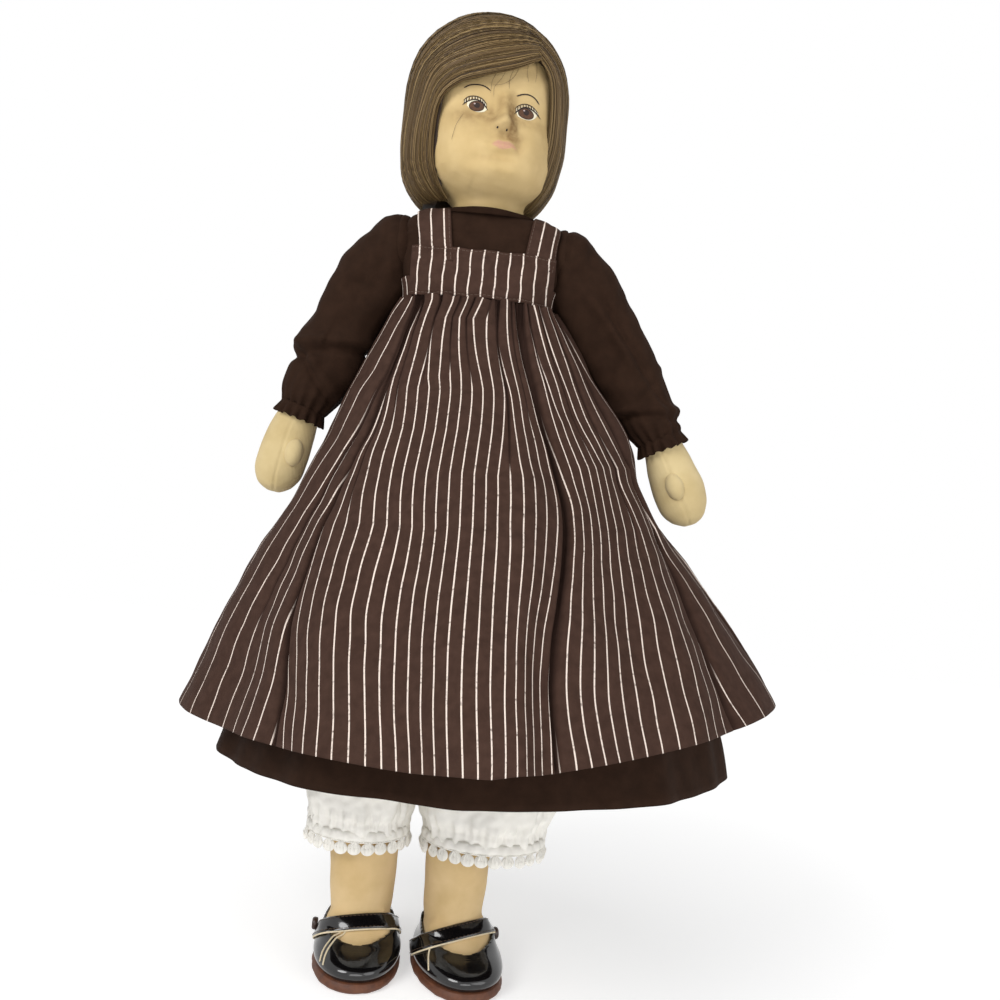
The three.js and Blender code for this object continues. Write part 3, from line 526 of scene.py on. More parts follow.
def dense_rows(rows, count):
    """A table of rows along a path made denser by a smooth curve."""
    table = np.array([[*row, row[2]] if len(row) == 3 else row for row in rows], float)
    along = np.concatenate([[0], np.cumsum(np.hypot(*np.diff(table[:, :2], axis=0).T))])
    return curve_through(along, table, np.linspace(0, along[-1], count))


def limb_grid(rows, around, along, grow=0.0):
    """Rings square to a limb's path in the XZ plane: x, height, half width, half thickness."""
    table = dense_rows(rows, along)
    way = unit(np.gradient(table[:, :2], axis=0))
    turns = even_turns(around)
    across = (table[:, 2:3] + grow) * np.cos(turns)
    x = table[:, 0:1] + across * way[:, 1:2]
    z = table[:, 1:2] - across * way[:, 0:1]
    y = (table[:, 3:4] + grow) * np.sin(turns)
    return np.stack([x, y, z], 2)


def plan_ring(turns, half_width, front, back, squareness):
    """Points round a level outline between an ellipse and a rounded square."""
    depth = np.where(np.sin(turns) < 0, front, back)
    x = half_width * signed_power(np.cos(turns), 2 / squareness)
    return np.stack([x, depth * signed_power(np.sin(turns), 2 / squareness)], -1)


def plan_grid(rings, base, heights, turns, grow=0.0):
    """Level outlines at these heights, of rings whose first value is a rise above a base."""
    table = np.array(rings, float)
    grid = []
    for height, plan in zip(heights, curve_through(table[:, 0] + base, table[:, 1:], heights)):
        half_width, front, back, squareness = plan
        ring = plan_ring(turns, half_width + grow, front + grow, back + grow, squareness)
        grid.append(np.column_stack([ring, np.full(len(turns), height)]))
    return np.array(grid)


def ring_heights(rings, count):
    """Even heights from the first ring of a table to its last."""
    return np.linspace(rings[0][0], rings[-1][0], count)


def lathe_shell(profile, side, middle):
    """A round shell about a left-right axis: the profile runs outward from the doll's middle."""
    sign, turns = side_signs[side], even_turns(64)
    rings = []
    for along, radius in profile:
        rings.append([
            [middle[0] + sign * along, middle[1] + radius * math.cos(t), middle[2] + radius * math.sin(t)]
            for t in turns
        ])
    return closed_shell(np.array(rings))


def ball_rings(around, up, pole_gap):
    """Rings of a ball of radius 1 that stop this far, in radians, before its poles."""
    turns = even_turns(around)
    return np.array([
        [[math.cos(rise) * math.cos(t), math.cos(rise) * math.sin(t), math.sin(rise)] for t in turns]
        for rise in np.linspace(-math.pi / 2 + pole_gap, math.pi / 2 - pole_gap, up)
    ])


def ball_shell(middle, size, around, up):
    """An egg with these half sizes; size may also be a matrix of three axes."""
    axes = np.diag(size) if np.ndim(size) == 1 else np.asarray(size)
    return closed_shell(ball_rings(around, up, 0.12) @ axes + np.asarray(middle))


def tube_shell(path, radius, around=6, closed=False):
    """A round cord along a path."""
    path = np.asarray(path, float)
    if closed:
        way = np.roll(path, -1, axis=0) - np.roll(path, 1, axis=0)
    else:
        way = np.gradient(path, axis=0)
    way = unit(way, 1e-9)
    side = unit(np.cross(way, np.array([0.31, 0.2, 0.93])), 1e-9)
    up = np.cross(side, way)
    turns = even_turns(around)
    width = np.broadcast_to(np.asarray(radius, float), len(path))[:, None, None]
    rings = path[:, None, :] + width * (
        side[:, None, :] * np.cos(turns)[None, :, None] + up[:, None, :] * np.sin(turns)[None, :, None]
    )
    return open_shell(np.concatenate([rings, rings[:1]])) if closed else closed_shell(rings)


def smoothed(grid, rounds):
    """A grid whose rows, but for the first and the last, are eased towards their neighbours."""
    for _ in range(rounds):
        grid[1:-1] = 0.25 * grid[:-2] + 0.5 * grid[1:-1] + 0.25 * grid[2:]
    return grid


def facing_front(grid, row, column):
    """The grid, its columns turned round where its outer side would face back at this place."""
    return grid[:, ::-1] if outward(grid, closed=False)[row, column, 1] > 0 else grid


def surface_tree(points, faces):
    return BVHTree.FromPolygons([Vector(p) for p in points], faces)


# Skirts: height, the doll's right side, its left side, front, back, squareness

pinafore_rings = [
    [110, -134, 195, -162, 124, 1.44],
    [120, -131, 189, -158, 121, 1.45],
    [151, -120, 173, -145, 112, 1.48],
    [198.5, -100.5, 133, -119, 94, 1.6],
    [236, -81.5, 101, -96, 77, 1.75],
    [252, -74.5, 90, -86, 68, 1.8],
    [271, -67, 84.5, -74, 59, 1.9],
    [302, -53.5, 64, -54, 46, 2.1],
    [325, -44, 49.5, -38.5, 34, 2.3],
    [335, -39.0, 41.6, -31.0, 28.4, 2.5],
]
dress_rings = [
    [95, -110, 152, -117, 96, 1.8],
    [150, -97, 134, -108, 87, 1.8],
    [200, -84, 112, -96, 75, 1.85],
    [236, -73, 89, -83, 64, 1.9],
    [271, -61, 73, -66, 53, 2],
    [302, -49, 55, -50, 42, 2.2],
    [325, -40.4, 42.4, -34.5, 30.4, 2.4],
    [334, -37.2, 38, -28.4, 25.8, 2.6],
]
hem_middle = 21.5
# Each skirt's top, its hem under hem_middle, and how the hem rises towards the doll's left side
pinafore_top, pinafore_hem, pinafore_hem_slope = 335, 136, 0.0963
dress_top, dress_hem, dress_hem_slope = 334, 113, 0.032
dress_hem_bow, dress_hem_half_width = 7, 130
# Between a skirt and the part of it that is turned in at the hem
hem_gap = 0.9
# Where the photograph was taken from, beside, above and before the doll's own middle, and its roll
camera_side, camera_rise, camera_reach = 21, 238, 515
camera_roll = math.radians(5.5)
# Places in that view that the main folds run through, in thousandths of its width, by their stripe
fold_lines = {
    -17.4: [(418, 300), (390, 370), (356, 450), (318, 530), (289, 600), (277, 680), (268, 760)],
    0.0: [(499, 293), (500, 353), (508, 397), (511, 471), (509, 560), (504, 680), (502, 780)],
    6.2: [
        (520, 295), (526, 346), (542, 412), (559, 456), (571, 500), (571, 540), (563, 610), (557, 700),
        (560, 780),
    ],
    20.2: [(549, 300), (575, 352), (603, 410), (636, 480), (661, 535), (690, 600), (718, 668), (746, 740)],
}
front_stripes = (-25.4, 23.4)
back_stripes = 62

# Folds of the front: stripe where it lies, stripes that it hides at the waist, share of the drop
# where it has opened, depth in millimetres, and how wide its middle, painted with shade, stays
front_folds = [
    (-22.0, 3.0, 0.80, 3.0, 0.04),
    (-17.4, 8.0, 1.08, 7.0, 0.05),
    (-13.2, 2.6, 0.55, 3.5, 0.04),
    (-11.2, 1.4, 0.34, 3.0, 0.04),
    (-8.6, 2.0, 0.24, 3.0, 0.04),
    (-6.0, 1.3, 0.21, 2.5, 0.04),
    (-4.0, 1.3, 0.24, 2.5, 0.04),
    (-2.1, 0.9, 0.06, 2.0, 0.04),
    (0.0, 2.9, 0.44, 4.0, 0.06),
    (3.0, 1.3, 0.33, 3.0, 0.05),
    (6.2, 4.6, 1.35, 9.0, 0.15),
    (9.6, 1.6, 0.30, 3.0, 0.05),
    (12.2, 1.8, 0.40, 3.0, 0.05),
    (15.4, 2.6, 0.62, 4.0, 0.05),
    (20.2, 6.0, 1.10, 7.0, 0.06),
]


def skirt_ring(rings, turns, heights):
    """Points of a skirt at these turns round it, each at its own height."""
    table = np.array(rings, float)
    right, left, front, back, squareness = curve_through(table[:, 0], table[:, 1:], heights).T
    middle, half_width = (left + right) / 2, (left - right) / 2
    x = middle + half_width * signed_power(np.cos(turns), 2 / squareness)
    depth = np.where(np.sin(turns) < 0, -front, back)
    return np.stack([x, depth * signed_power(np.sin(turns), 2 / squareness), heights], 1)


def hem_heights(rings, turns, hem_height, hem_slope):
    hem_x = skirt_ring(rings, turns, np.full(len(turns), float(hem_height)))[:, 0]
    return hem_height + (hem_x - hem_middle) * hem_slope


def hidden_share(count, share, fold):
    """How far each place lies inside a fold, from 0 outside to 1 in its middle."""
    middle, hidden, opens = fold[:3]
    half = 0.5 * hidden * np.clip(1 - share / opens, 0, None) ** 0.8
    soft = 0.16
    inside = np.tanh((count - middle + half) / soft) - np.tanh((count - middle - half) / soft)
    return 0.5 * inside


def laid_folds(count, share, folds):
    """For each place: share of its width that shows, and how deep the folds pull it in."""
    shows = np.ones(np.broadcast(count, share).shape)
    depth = np.zeros_like(shows)
    for fold in folds:
        inside = hidden_share(count, share, fold)
        left_open = np.clip(1 - share / fold[2], 0, 1)
        reach = fold[3] * np.clip(0.25 + share / 0.6, 0, 1) * left_open**0.5
        shows -= inside * (1 - fold[4])
        depth += reach * (0.7 * inside + 0.3 * bell(count, fold[0], 1.1 + 0.4 * fold[1]))
    return np.clip(shows, 0.03, 1), depth


def in_view(points):
    """Where places of the doll lie in the photograph's view, in thousandths of its width."""
    reach = camera_reach + points[:, 1]
    across = (points[:, 0] - camera_side) * 1000 / reach
    up = (points[:, 2] - camera_rise) * 1000 / reach
    right, down = rotated(across, -up, camera_roll)
    return 500 + right, 500 + down


def steered(way, stripes, ring, seen_share):
    """The stripes' shares of the way across a ring, moved so that the main folds lie on their lines."""
    across, down = in_view(ring)
    knots, moved = [0.0], [0.0]
    for stripe, line in fold_lines.items():
        line = np.array(line, float)
        inside = np.clip(down, line[0, 1], line[-1, 1])
        off = across - curve_through(line[:, 1], line[:, :1], inside)[:, 0]
        knots.append(float(np.interp(stripe, stripes, way)))
        moved.append(max(float(np.interp(0, off, seen_share)), moved[-1] + 0.02))
    return np.interp(way, [*knots, 1.0], [*np.minimum(moved, 0.985), 1.0])


def shown_way(stripes, share, folds):
    """How much of the cloth shows up to each stripe, from 0 at the first."""
    shows, _ = laid_folds(stripes, share, folds)
    return np.concatenate([[0], np.cumsum(0.5 * (shows[1:] + shows[:-1]))])


def stripe_turns(share, ring, turns, front, back, back_folds):
    """Where each stripe of the front and the back lies round a ring of the skirt."""
    seen = (ring[:, 0] - camera_side) / (camera_reach + ring[:, 1])
    half = len(turns) // 2
    first, last = np.argmin(seen[: half + 1]), np.argmax(seen[: half + 1])
    arc = lengths_along(ring)
    part = slice(first, last + 1)
    seen_share = (seen[part] - seen[first]) / (seen[last] - seen[first])
    arc_share = (arc[part] - arc[first]) / (arc[last] - arc[first])
    mixed_share = 0.8 * seen_share + 0.2 * arc_share
    way = shown_way(front, share, front_folds)
    way = steered(way / way[-1], front, ring[part], mixed_share)
    front_turns = np.interp(way, mixed_share, turns[part])
    way = shown_way(back, share, back_folds)
    ahead = np.concatenate([turns[last:], turns[1 : first + 1] + 2 * math.pi])
    around = np.concatenate([arc[last:], arc[1 : first + 1] + arc[-1]])
    start = (back[0] / back_stripes) * (around[-1] - around[0])
    wanted = around[0] + start + way / way[-1] * (around[-1] - around[0] - start)
    return np.concatenate([front_turns, np.interp(wanted, around, ahead)])


def skirt_relief(grid, share, count, depth):
    """How far the pinafore's skirt stands out: puckers at the waist, flutes, lumps and folds."""
    pucker = 0.8 * np.exp(-share / 0.07) * np.cos(2 * math.pi * count / 1.1 + 2 * np.sin(count))
    flute = 2.0 * share * np.sin(count * 0.9 + 1.2 * np.sin(count * 0.31))
    flute = flute + 1.4 * share**2 * np.sin(count * 0.43 + 1)
    lump = Ripple(5, 60)(grid) * 0.8 * np.clip(share * 3, 0, 1) + Ripple(6, 22)(grid) * 0.2
    return pucker + flute + lump - depth


def with_hem(grid, normal, rows):
    """A skirt's grid with this many of its last rows once more behind them, as a turned hem."""
    turned_in = grid[-rows:][::-1] - normal[-rows:][::-1] * hem_gap
    turned_in[0] = grid[-1] - normal[-1] * (hem_gap / 2)
    return np.concatenate([grid, turned_in])


def folds_behind():
    """Even folds round the back, which the photograph doesn't show."""
    chance = np.random.default_rng(7)
    return [
        (middle + chance.uniform(-0.7, 0.7), 3.6, chance.uniform(0.5, 1.2), 3.5, 0.04)
        for middle in np.arange(2.5, back_stripes, 5)
    ]


def build_pinafore_skirt():
    rows, hem_rows, per_stripe, per_back_stripe = 130, 14, 16, 7
    front = np.linspace(*front_stripes, int((front_stripes[1] - front_stripes[0]) * per_stripe) + 1)
    back = np.linspace(0, back_stripes, back_stripes * per_back_stripe + 1)[1:]
    turns = np.linspace(-math.pi, math.pi, 1441)
    hem = hem_heights(pinafore_rings, turns, pinafore_hem, pinafore_hem_slope)
    back_folds = folds_behind()
    shares = np.arange(rows) / (rows - 1)
    grid = []
    for share in shares:
        level = pinafore_top + (hem - pinafore_top) * share
        ring = skirt_ring(pinafore_rings, turns, level)
        all_turns = stripe_turns(share, ring, turns, front, back, back_folds)
        heights = np.interp((all_turns + math.pi) % (2 * math.pi) - math.pi, turns, level)
        grid.append(skirt_ring(pinafore_rings, all_turns, heights))
    flat = np.array(grid)
    share = shares[:, None]
    normal = outward(flat, closed=False)
    parts = ((front[None, :], front_folds), (back[None, :], back_folds))
    # How far each place lies inside a fold; the cloth's material paints shade there
    inside = np.concatenate([sum(hidden_share(at, share, fold) for fold in folds) for at, folds in parts], 1)
    depth = np.concatenate([laid_folds(at, share, folds)[1] for at, folds in parts], 1)
    count = np.concatenate([front, front[-1] + back])[None, :]
    grid = flat + normal * skirt_relief(flat, share, count, depth)[..., None]
    drift = 0.25 * np.sin(share * 21 + 0.3 * count) * np.clip(share * 4, 0, 1) + Ripple(9, 60)(flat) * 0.5
    grid += unit(np.gradient(flat, axis=1), 1e-9) * drift[..., None]
    apart = np.linalg.norm(np.gradient(grid, axis=1), axis=2) / np.gradient(count[0]) / stripe_pitch
    uv = np.stack([np.broadcast_to((count + 0.5) * stripe_pitch, depth.shape), 200 * share + 0 * depth], 2)
    grid = with_hem(grid, normal, hem_rows)
    uv, inside, apart = (
        np.concatenate([values, values[-hem_rows:][::-1]]) for values in (uv, inside, apart)
    )
    make_piece(
        "pinafore_skirt_cloth", *open_shell(grid, closed=False), "pinafore_cloth", "body", ["pinafore_skirt"],
        uv=uv.reshape(-1, 2), marks={"inside": np.clip(inside, 0, 1), "spread": np.clip(apart - 1, 0, 5)},
    )


def build_dress_skirt():
    rows, hem_rows, columns = 70, 10, 720
    turns = even_turns(columns)
    hem = hem_heights(dress_rings, turns, dress_hem, dress_hem_slope)
    hem_x = skirt_ring(dress_rings, turns, hem)[:, 0]
    hem -= dress_hem_bow * ((hem_x - hem_middle) / dress_hem_half_width) ** 2
    share = np.linspace(0, 1, rows)[:, None]
    grid = np.array([
        skirt_ring(dress_rings, turns, dress_top + (hem - dress_top) * s) for s in share[:, 0]
    ])
    normal = outward(grid)
    normal = normal * np.sign((normal * (grid - grid.mean(1, keepdims=True))).sum(2, keepdims=True))
    folds = 2.2 * np.cos(9 * turns + 1.4) + 1.0 * np.cos(15 * turns + 0.4) + 0.5 * np.cos(31 * turns)
    lump = Ripple(15, 50)(grid) * 0.8
    tucked = 3.5 * bell(share, 0.3, 0.28)
    grid = grid + normal * ((0.12 + 0.88 * share) * folds + lump * share - tucked)[..., None]
    shell = open_shell(with_hem(grid, normal, hem_rows))
    make_piece("dress_skirt_cloth", *shell, "dress_cloth", "body", ["dress_skirt"])


# Body and chest

torso_rings = [
    [206.5, 6, 6, 6, 2.2],
    [209, 15, 13, 13, 2.3],
    [215, 22, 20, 20, 2.4],
    [224, 31, 25.5, 25.5, 2.4],
    [248, 36, 28, 28, 2.4],
    [275, 35, 27, 28, 2.4],
    [305, 33.5, 25.5, 24, 2.5],
    [333, 35.2, 26, 23.5, 2.7],
    [341, 36, 26, 23.5, 3],
    [350, 38.7, 25.5, 23.5, 3.4],
    [368, 38.7, 24, 22.5, 3.4],
    [373.5, 36.5, 22, 20.5, 3],
    [375.5, 32.9, 19.8, 18.5, 3],
]
neck_base = [0.5, 0, 375.8]


def build_torso():
    grid = plan_grid(torso_rings, 0, ring_heights(torso_rings, 80), even_turns(96))
    points, faces, normals = fused([closed_shell(grid)], 1.6, 2)
    points = points + normals * (Ripple(21, 30)(points)[:, None] * 0.12 - 0.7)
    make_piece("torso_cloth", points, faces, "skin_cloth", "body", ["torso"])


def build_bloomers_seat():
    low_edge, high_edge, layer = 209, 290, 1.4
    grid = plan_grid(torso_rings, 0, np.linspace(low_edge, high_edge, 60), even_turns(120), layer)
    crinkle = Ripple(22, 9, stretch=(1, 1, 0.5))(grid) * 0.35
    grid = grid - outward(grid) * crinkle[..., None]
    make_piece("bloomers_seat_cloth", *open_shell(grid), "white_cotton", "body", ["bloomers_seat"])


bodice_shoulder_rings = [
    [333.4, 36.7, 27.5, 25, 2.7], [341, 37.5, 27.5, 25, 3], [350, 40, 27, 25, 3.4],
    [362, 40.2, 25.8, 24.2, 3.4], [370, 40.2, 25, 23.6, 3.2], [374.4, 39.4, 23.6, 22.2, 3],
    [377.2, 36.6, 21.6, 20.4, 2.8], [378.6, 32, 19.6, 18.8, 2.5],
]
neckline = [
    (28, 379.2), (25.5, 379.9), (23.4, 380.6), (21.8, 381.2), (20.8, 381.6), (20.2, 381.8), (19.6, 381.2),
    (19.3, 376.0),
]
# The bodice's sides at the armholes, where the sleeves start: away from the middle, and radius
armhole_profile = [
    (30, 12), (34, 14.5), (37, 16.4), (39.2, 17.5), (41, 17.9), (42.2, 17.6), (42.6, 17.0), (42.2, 16.4),
    (40.4, 15.0), (39.4, 12),
]


def build_bodice():
    turns = even_turns(160)
    grid = plan_grid(bodice_shoulder_rings, 0, ring_heights(bodice_shoulder_rings, 60), turns)
    rings = []
    for radius, height in neckline:
        level = 0 * turns + height
        rings.append(np.column_stack([neck_base[0] + radius * np.cos(turns), radius * np.sin(turns), level]))
    grid = np.concatenate([grid, np.array(rings)])
    crease = Ripple(23, 18)(grid) * 0.3 * np.clip((380 - grid[..., 2]) / 6, 0, 1)
    seam = (0.35 * bell(grid[..., 2], 367.6, 1.1) - 0.3 * bell(grid[..., 2], 366, 0.6)) * (grid[..., 1] < 0)
    grid = grid + outward(grid) * (-crease + seam)[..., None]
    armholes = [lathe_shell(armhole_profile, side, (0, 0, shoulder_height)) for side in side_signs]
    shell = joined([open_shell(grid), *armholes])
    make_piece("dress_bodice_cloth", *shell, "dress_cloth", "body", ["dress_bodice"])


# Pinafore's bib, bands and straps

bib_sides = (-33.9, 37.4)
bib_heights = (334.6, 358.4)
band_heights = (344.3, 333.4)
pinafore_thickness = 1.1
# How far the bib and the bands lie off the torso, the straps off the bodice, and stitches off cloth
bib_lift, strap_lift, stitch_lift = 2.6, 1.1, 0.56
# The stripes of the bib and the straps are counted from here, so that no count is below 0
stripes_before, stripes_shift = 500, 1.2
strap_lines = {
    "right": {"low": (-30.2, -13.6), "high": (-34.6, -17.6)},
    "left": {"low": (21.6, 36.8), "high": (25.4, 39.8)},
}
strap_levels = (356, 384)
# Filled in as the bib and the straps are made: paths of the seams, and the way out of the cloth
sewn_edges = []


def chest_front(x, z, grow):
    """Depth of the chest's front surface at this place."""
    table = np.array(torso_rings, float)
    found = curve_through(table[:, 0], table[:, 1:], z.ravel())
    half_width, front, _, squareness = (column.reshape(z.shape) for column in found.T)
    share = np.clip(np.abs(x) / (half_width + grow), 0, 0.999) ** squareness
    return -(front + grow) * (1 - share) ** (1 / squareness)


def make_pinafore_part(part, grid, uv):
    """A flat part of the pinafore's cloth; its two sides have the same stripes."""
    points, faces = cloth_shell(grid, pinafore_thickness, closed=False)
    make_piece(
        f"pinafore_{part}_cloth", points, faces, "pinafore_cloth", "body", [f"pinafore_{part}"],
        uv=np.tile(uv.reshape(-1, 2), (2, 1)),
    )


def build_bib():
    x, z = np.meshgrid(np.linspace(*bib_sides, 150), np.linspace(*bib_heights[::-1], 46))
    wobble = 0.16 * np.sin(z * 0.45 + x * 0.13) + 0.05 * np.sin(z * 1.1)
    grid = np.stack([x, chest_front(x, z, bib_lift), z], 2)
    grid[..., 2] += 0.25 * np.sin(x * 0.35)
    lift = Ripple(31, 14)(grid) * 0.25
    lift -= 0.35 * bell(z, bib_heights[1] - 3.2, 0.5) + 0.3 * bell(z, bib_heights[0] + 1.6, 0.5)
    grid[..., 1] -= lift
    normal = outward(grid, closed=False)
    for row in (2, -4):
        sewn_edges.append((grid[row] + normal[row] * stitch_lift, normal[row]))
    across = x + wobble + stripes_before * stripe_pitch + stripes_shift
    make_pinafore_part("bib", grid, np.stack([across, z], 2))


def build_bands():
    """The waistband goes from the bib's sides round to the button at the back."""
    sweep = np.linspace(math.radians(-55), math.radians(89.4), 150)
    heights = np.linspace(*band_heights, 26)
    for side, sign in side_signs.items():
        grid = plan_grid(torso_rings, 0, heights, sweep, bib_lift)
        grid[..., 0] *= sign
        edge = bib_sides[0] - 0.2 if side == "right" else bib_sides[1] + 0.2
        grid = grid[:, (sign * grid[0, :, 0] > abs(edge)) | (grid[0, :, 1] > 0)]
        if side == "left":
            grid = grid[:, ::-1]
        uv = np.stack(np.broadcast_arrays(lengths_along(grid[0])[None, :], heights[:, None]), 2)
        make_pinafore_part(f"band_{side}", grid, uv)


def strap_point(tree, line, direction, share):
    """The place under a strap, this share across it, that lies in a direction from the chest's middle."""
    height = 360.0
    for _ in range(4):
        lean = (height - strap_levels[0]) / (strap_levels[1] - strap_levels[0])
        low_x = line["low"][0] + share * (line["low"][1] - line["low"][0])
        high_x = line["high"][0] + share * (line["high"][1] - line["high"][0])
        hit = tree.ray_cast(Vector((low_x + lean * (high_x - low_x), 0, 350)), direction)[0]
        height = hit.z
    return list(hit)


def build_straps():
    columns = 34
    rings = [
        [height, *(value + strap_lift for value in plan[:3]), plan[3]]
        for height, *plan in bodice_shoulder_rings
    ]
    grid = plan_grid(rings, 0, ring_heights(rings, 60), even_turns(160))
    grid[-1, :, 2] += strap_lift
    tree = surface_tree(*closed_shell(grid))
    for side, line in strap_lines.items():
        rows = []
        for angle in np.radians(np.linspace(3.5, 174, 110)):
            direction = Vector((0, -math.cos(angle), math.sin(angle)))
            rows.append([strap_point(tree, line, direction, share) for share in np.linspace(0, 1, columns)])
        grid = smoothed(np.array(rows), 6)
        if side == "right":
            grid = grid[:, ::-1]
        grid = grid - outward(grid, closed=False) * (Ripple(33, 16)(grid) * 0.2)[..., None]
        grid = facing_front(grid, 0, 5)
        normal = outward(grid, closed=False)
        for column in (2, -3):
            sewn_edges.append((grid[:, column] + normal[:, column] * stitch_lift, normal[:, column]))
        across = np.linspace(*line["low"], columns)
        if grid[0, 0, 0] > grid[0, -1, 0]:
            across = across[::-1]
        uv = np.zeros((*grid.shape[:2], 2))
        uv[..., 0] = across + stripes_before * stripe_pitch + stripes_shift
        uv[1:, :, 1] = np.linalg.norm(np.diff(grid, axis=0), axis=2).mean(1).cumsum()[:, None]
        make_pinafore_part(f"strap_{side}", grid, uv)


# Arms, sleeves and hands

arm_rows = {
    "right": [
        [44, 361, 11.5, 11.5], [55, 350, 12, 12], [67, 326, 11, 11], [78, 296, 10.5, 10.5],
        [84.8, 275, 9.8, 9.4], [89.3, 262, 12, 9.4], [92.4, 249, 13, 9.5], [94.8, 238, 10.5, 8],
        [95.5, 233.6, 7.2, 5.8], [95.8, 231.3, 3.0, 2.4],
    ],
    "left": [
        [44, 361, 11.5, 11.5], [54, 351, 12, 12], [65, 336, 11.5, 11.5], [82.5, 305, 10.8, 10.8],
        [96.5, 282.5, 10, 10], [101, 274, 9.8, 9.4], [107, 262, 12, 9.5], [113, 249.5, 13.2, 9.5],
        [117.4, 240, 10.5, 8], [119, 236.6, 7.2, 5.8], [119.8, 234.6, 3.0, 2.4],
    ],
}
sleeve_rows = {
    "right": [
        [44, 361, 16.2], [55, 350, 16.4], [67, 326, 15.4], [78, 296, 14.8], [82.3, 282.5, 14],
        [84.6, 275, 11.3],
    ],
    "left": [
        [44, 361, 16.2], [54, 351, 16.4], [65, 336, 15.6], [82.5, 305, 15], [92.4, 289.5, 14.4],
        [96.8, 282.5, 13.6], [99.8, 276.6, 11.3],
    ],
}
arm_top_profile = [(39.3, 11.3), (40.6, 12.8), (46, 13.4), (52, 11), (55.5, 6), (57, 0.5)]
sleeve_top_profile = [(40.5, 17.6), (45, 18.6), (51.5, 16.6), (57.5, 10.5), (61, 0.5)]
shoulder_height = 361
# Round the shoulder the sleeve is open this far from the joint's line, up to this far out along it
armhole_opening, armhole_reach = 17.5, 41.4
ruffle_length, ruffle_thickness = 5.5, 0.7
# Gathers round the cuff, which run on into the ruffle
cuff_gathers = 15
thumb_places = {"right": (-85.2, -8.6, 252), "left": (108.4, -8.8, 253)}
thumb_lean = {"right": -8, "left": 24}
thumb_size = (4.6, 4.2, 7.0)


def side_rows(rows, side):
    return [[side_signs[side] * row[0], *row[1:]] for row in rows[side]]


def way_along(points, rows):
    """For each point: distance along a limb's path, sideways across it, and the whole length."""
    path = dense_rows(rows, 160)[:, :2]
    length = np.concatenate([[0], np.cumsum(np.hypot(*np.diff(path, axis=0).T))])
    places = points[:, [0, 2]]
    nearest = np.argmin(((places[:, None, :] - path[None]) ** 2).sum(2), axis=1)
    way = unit(np.gradient(path, axis=0))
    off = places - path[nearest]
    across = off[:, 0] * way[nearest, 1] - off[:, 1] * way[nearest, 0]
    along = length[nearest] + (off * way[nearest]).sum(1)
    return along, across, length[-1]


def add_creases(push, side, rest, across, front):
    """Adds the creases that the photograph shows on a sleeve to how far its cloth stands out."""
    if side == "right":
        first = rest - 33 + 0.55 * across
        second = rest - 20 - 0.7 * across
        push += 2.4 * bell(first, 3.5, 3.2) - 2.0 * bell(first, -2.5, 2.4)
        push += (1.2 * bell(second, 3, 3) - 1.6 * bell(second, -2, 2.2)) * front
        push += 1.6 * bell(rest, 36, 5) * (across > 0)
        hangs, at_cuff, at_shoulder = 5.0 * np.clip(-across / 14, 0, 1) ** 2, 30, 102
    else:
        first = across + 3 - 0.12 * (rest - 50)
        push += (1.6 * bell(first, 3, 2.6) - 2.2 * bell(first, -1, 2.2)) * bell(rest, 52, 34) * front
        second = rest - 14 - 0.5 * across
        push += 1.4 * bell(second, 2.5, 2.5) - 1.8 * bell(second, -2, 2)
        push += 1.0 * bell(rest - 27 + 0.4 * across, 0, 3)
        hangs, at_cuff, at_shoulder = 4.5 * np.clip(across / 14, 0, 1) ** 2, 50, 110
    push += hangs * np.clip(rest / at_cuff, 0, 1) * np.clip((at_shoulder - rest) / 18, 0, 1)


def build_sleeve(side):
    rows = side_rows(sleeve_rows, side)
    top = lathe_shell(sleeve_top_profile, side, (0, 0, shoulder_height))
    points, faces, normals = fused([closed_shell(limb_grid(rows, 64, 60)), top], 0.9, 14)
    along, across, length = way_along(points, rows)
    turn = np.arctan2(points[:, 1], across)
    rest = length - along
    gather = 0.9 * np.cos(cuff_gathers * turn + 2 * np.sin(turn)) * np.exp(-np.clip(rest, 0, None) / 9)
    soft = Ripple(41 if side == "right" else 42, 26)(points) * 0.7 + Ripple(43, 11)(points) * 0.18
    push = gather + soft * np.clip(rest / 20, 0.3, 1)
    add_creases(push, side, rest, across, np.clip(-points[:, 1] / 10, 0, 1))
    points = points + normals * push[:, None]
    in_armhole = np.hypot(points[:, 1], points[:, 2] - shoulder_height) < armhole_opening
    shut = ((np.abs(points[:, 0]) < armhole_reach) & in_armhole) | (rest < 0.5)
    faces = [face for face in faces if not all(shut[index] for index in face)]
    make_piece(f"sleeve_{side}_cloth", points, faces, "dress_cloth", f"arm_{side}", [f"sleeve_{side}"])


def build_ruffle(side):
    table = dense_rows(side_rows(sleeve_rows, side), 40)
    end, way = table[-1], table[-1, :2] - table[-2, :2]
    way = way / np.linalg.norm(way)
    turns = even_turns(240)
    grid = []
    for share in np.linspace(-0.25, 1, 14):
        wave = 1.0 * np.cos(cuff_gathers * turns + 2 * np.sin(turns)) + 0.5 * np.cos(7 * turns)
        wave = (0.25 + max(share, 0)) * wave
        reach = end[2] + 1.0 * max(share, 0) + wave
        down = share * ruffle_length + 0.5 * np.cos(cuff_gathers * turns + 1.5) * share
        across = reach * np.cos(turns)
        x = end[0] + way[0] * down + across * way[1]
        z = end[1] + way[1] * down - across * way[0]
        grid.append(np.stack([x, reach * np.sin(turns), z], 1))
    shell = cloth_shell(np.array(grid), ruffle_thickness)
    make_piece(f"cuff_ruffle_{side}_cloth", *shell, "dress_cloth", f"arm_{side}", [f"cuff_ruffle_{side}"])


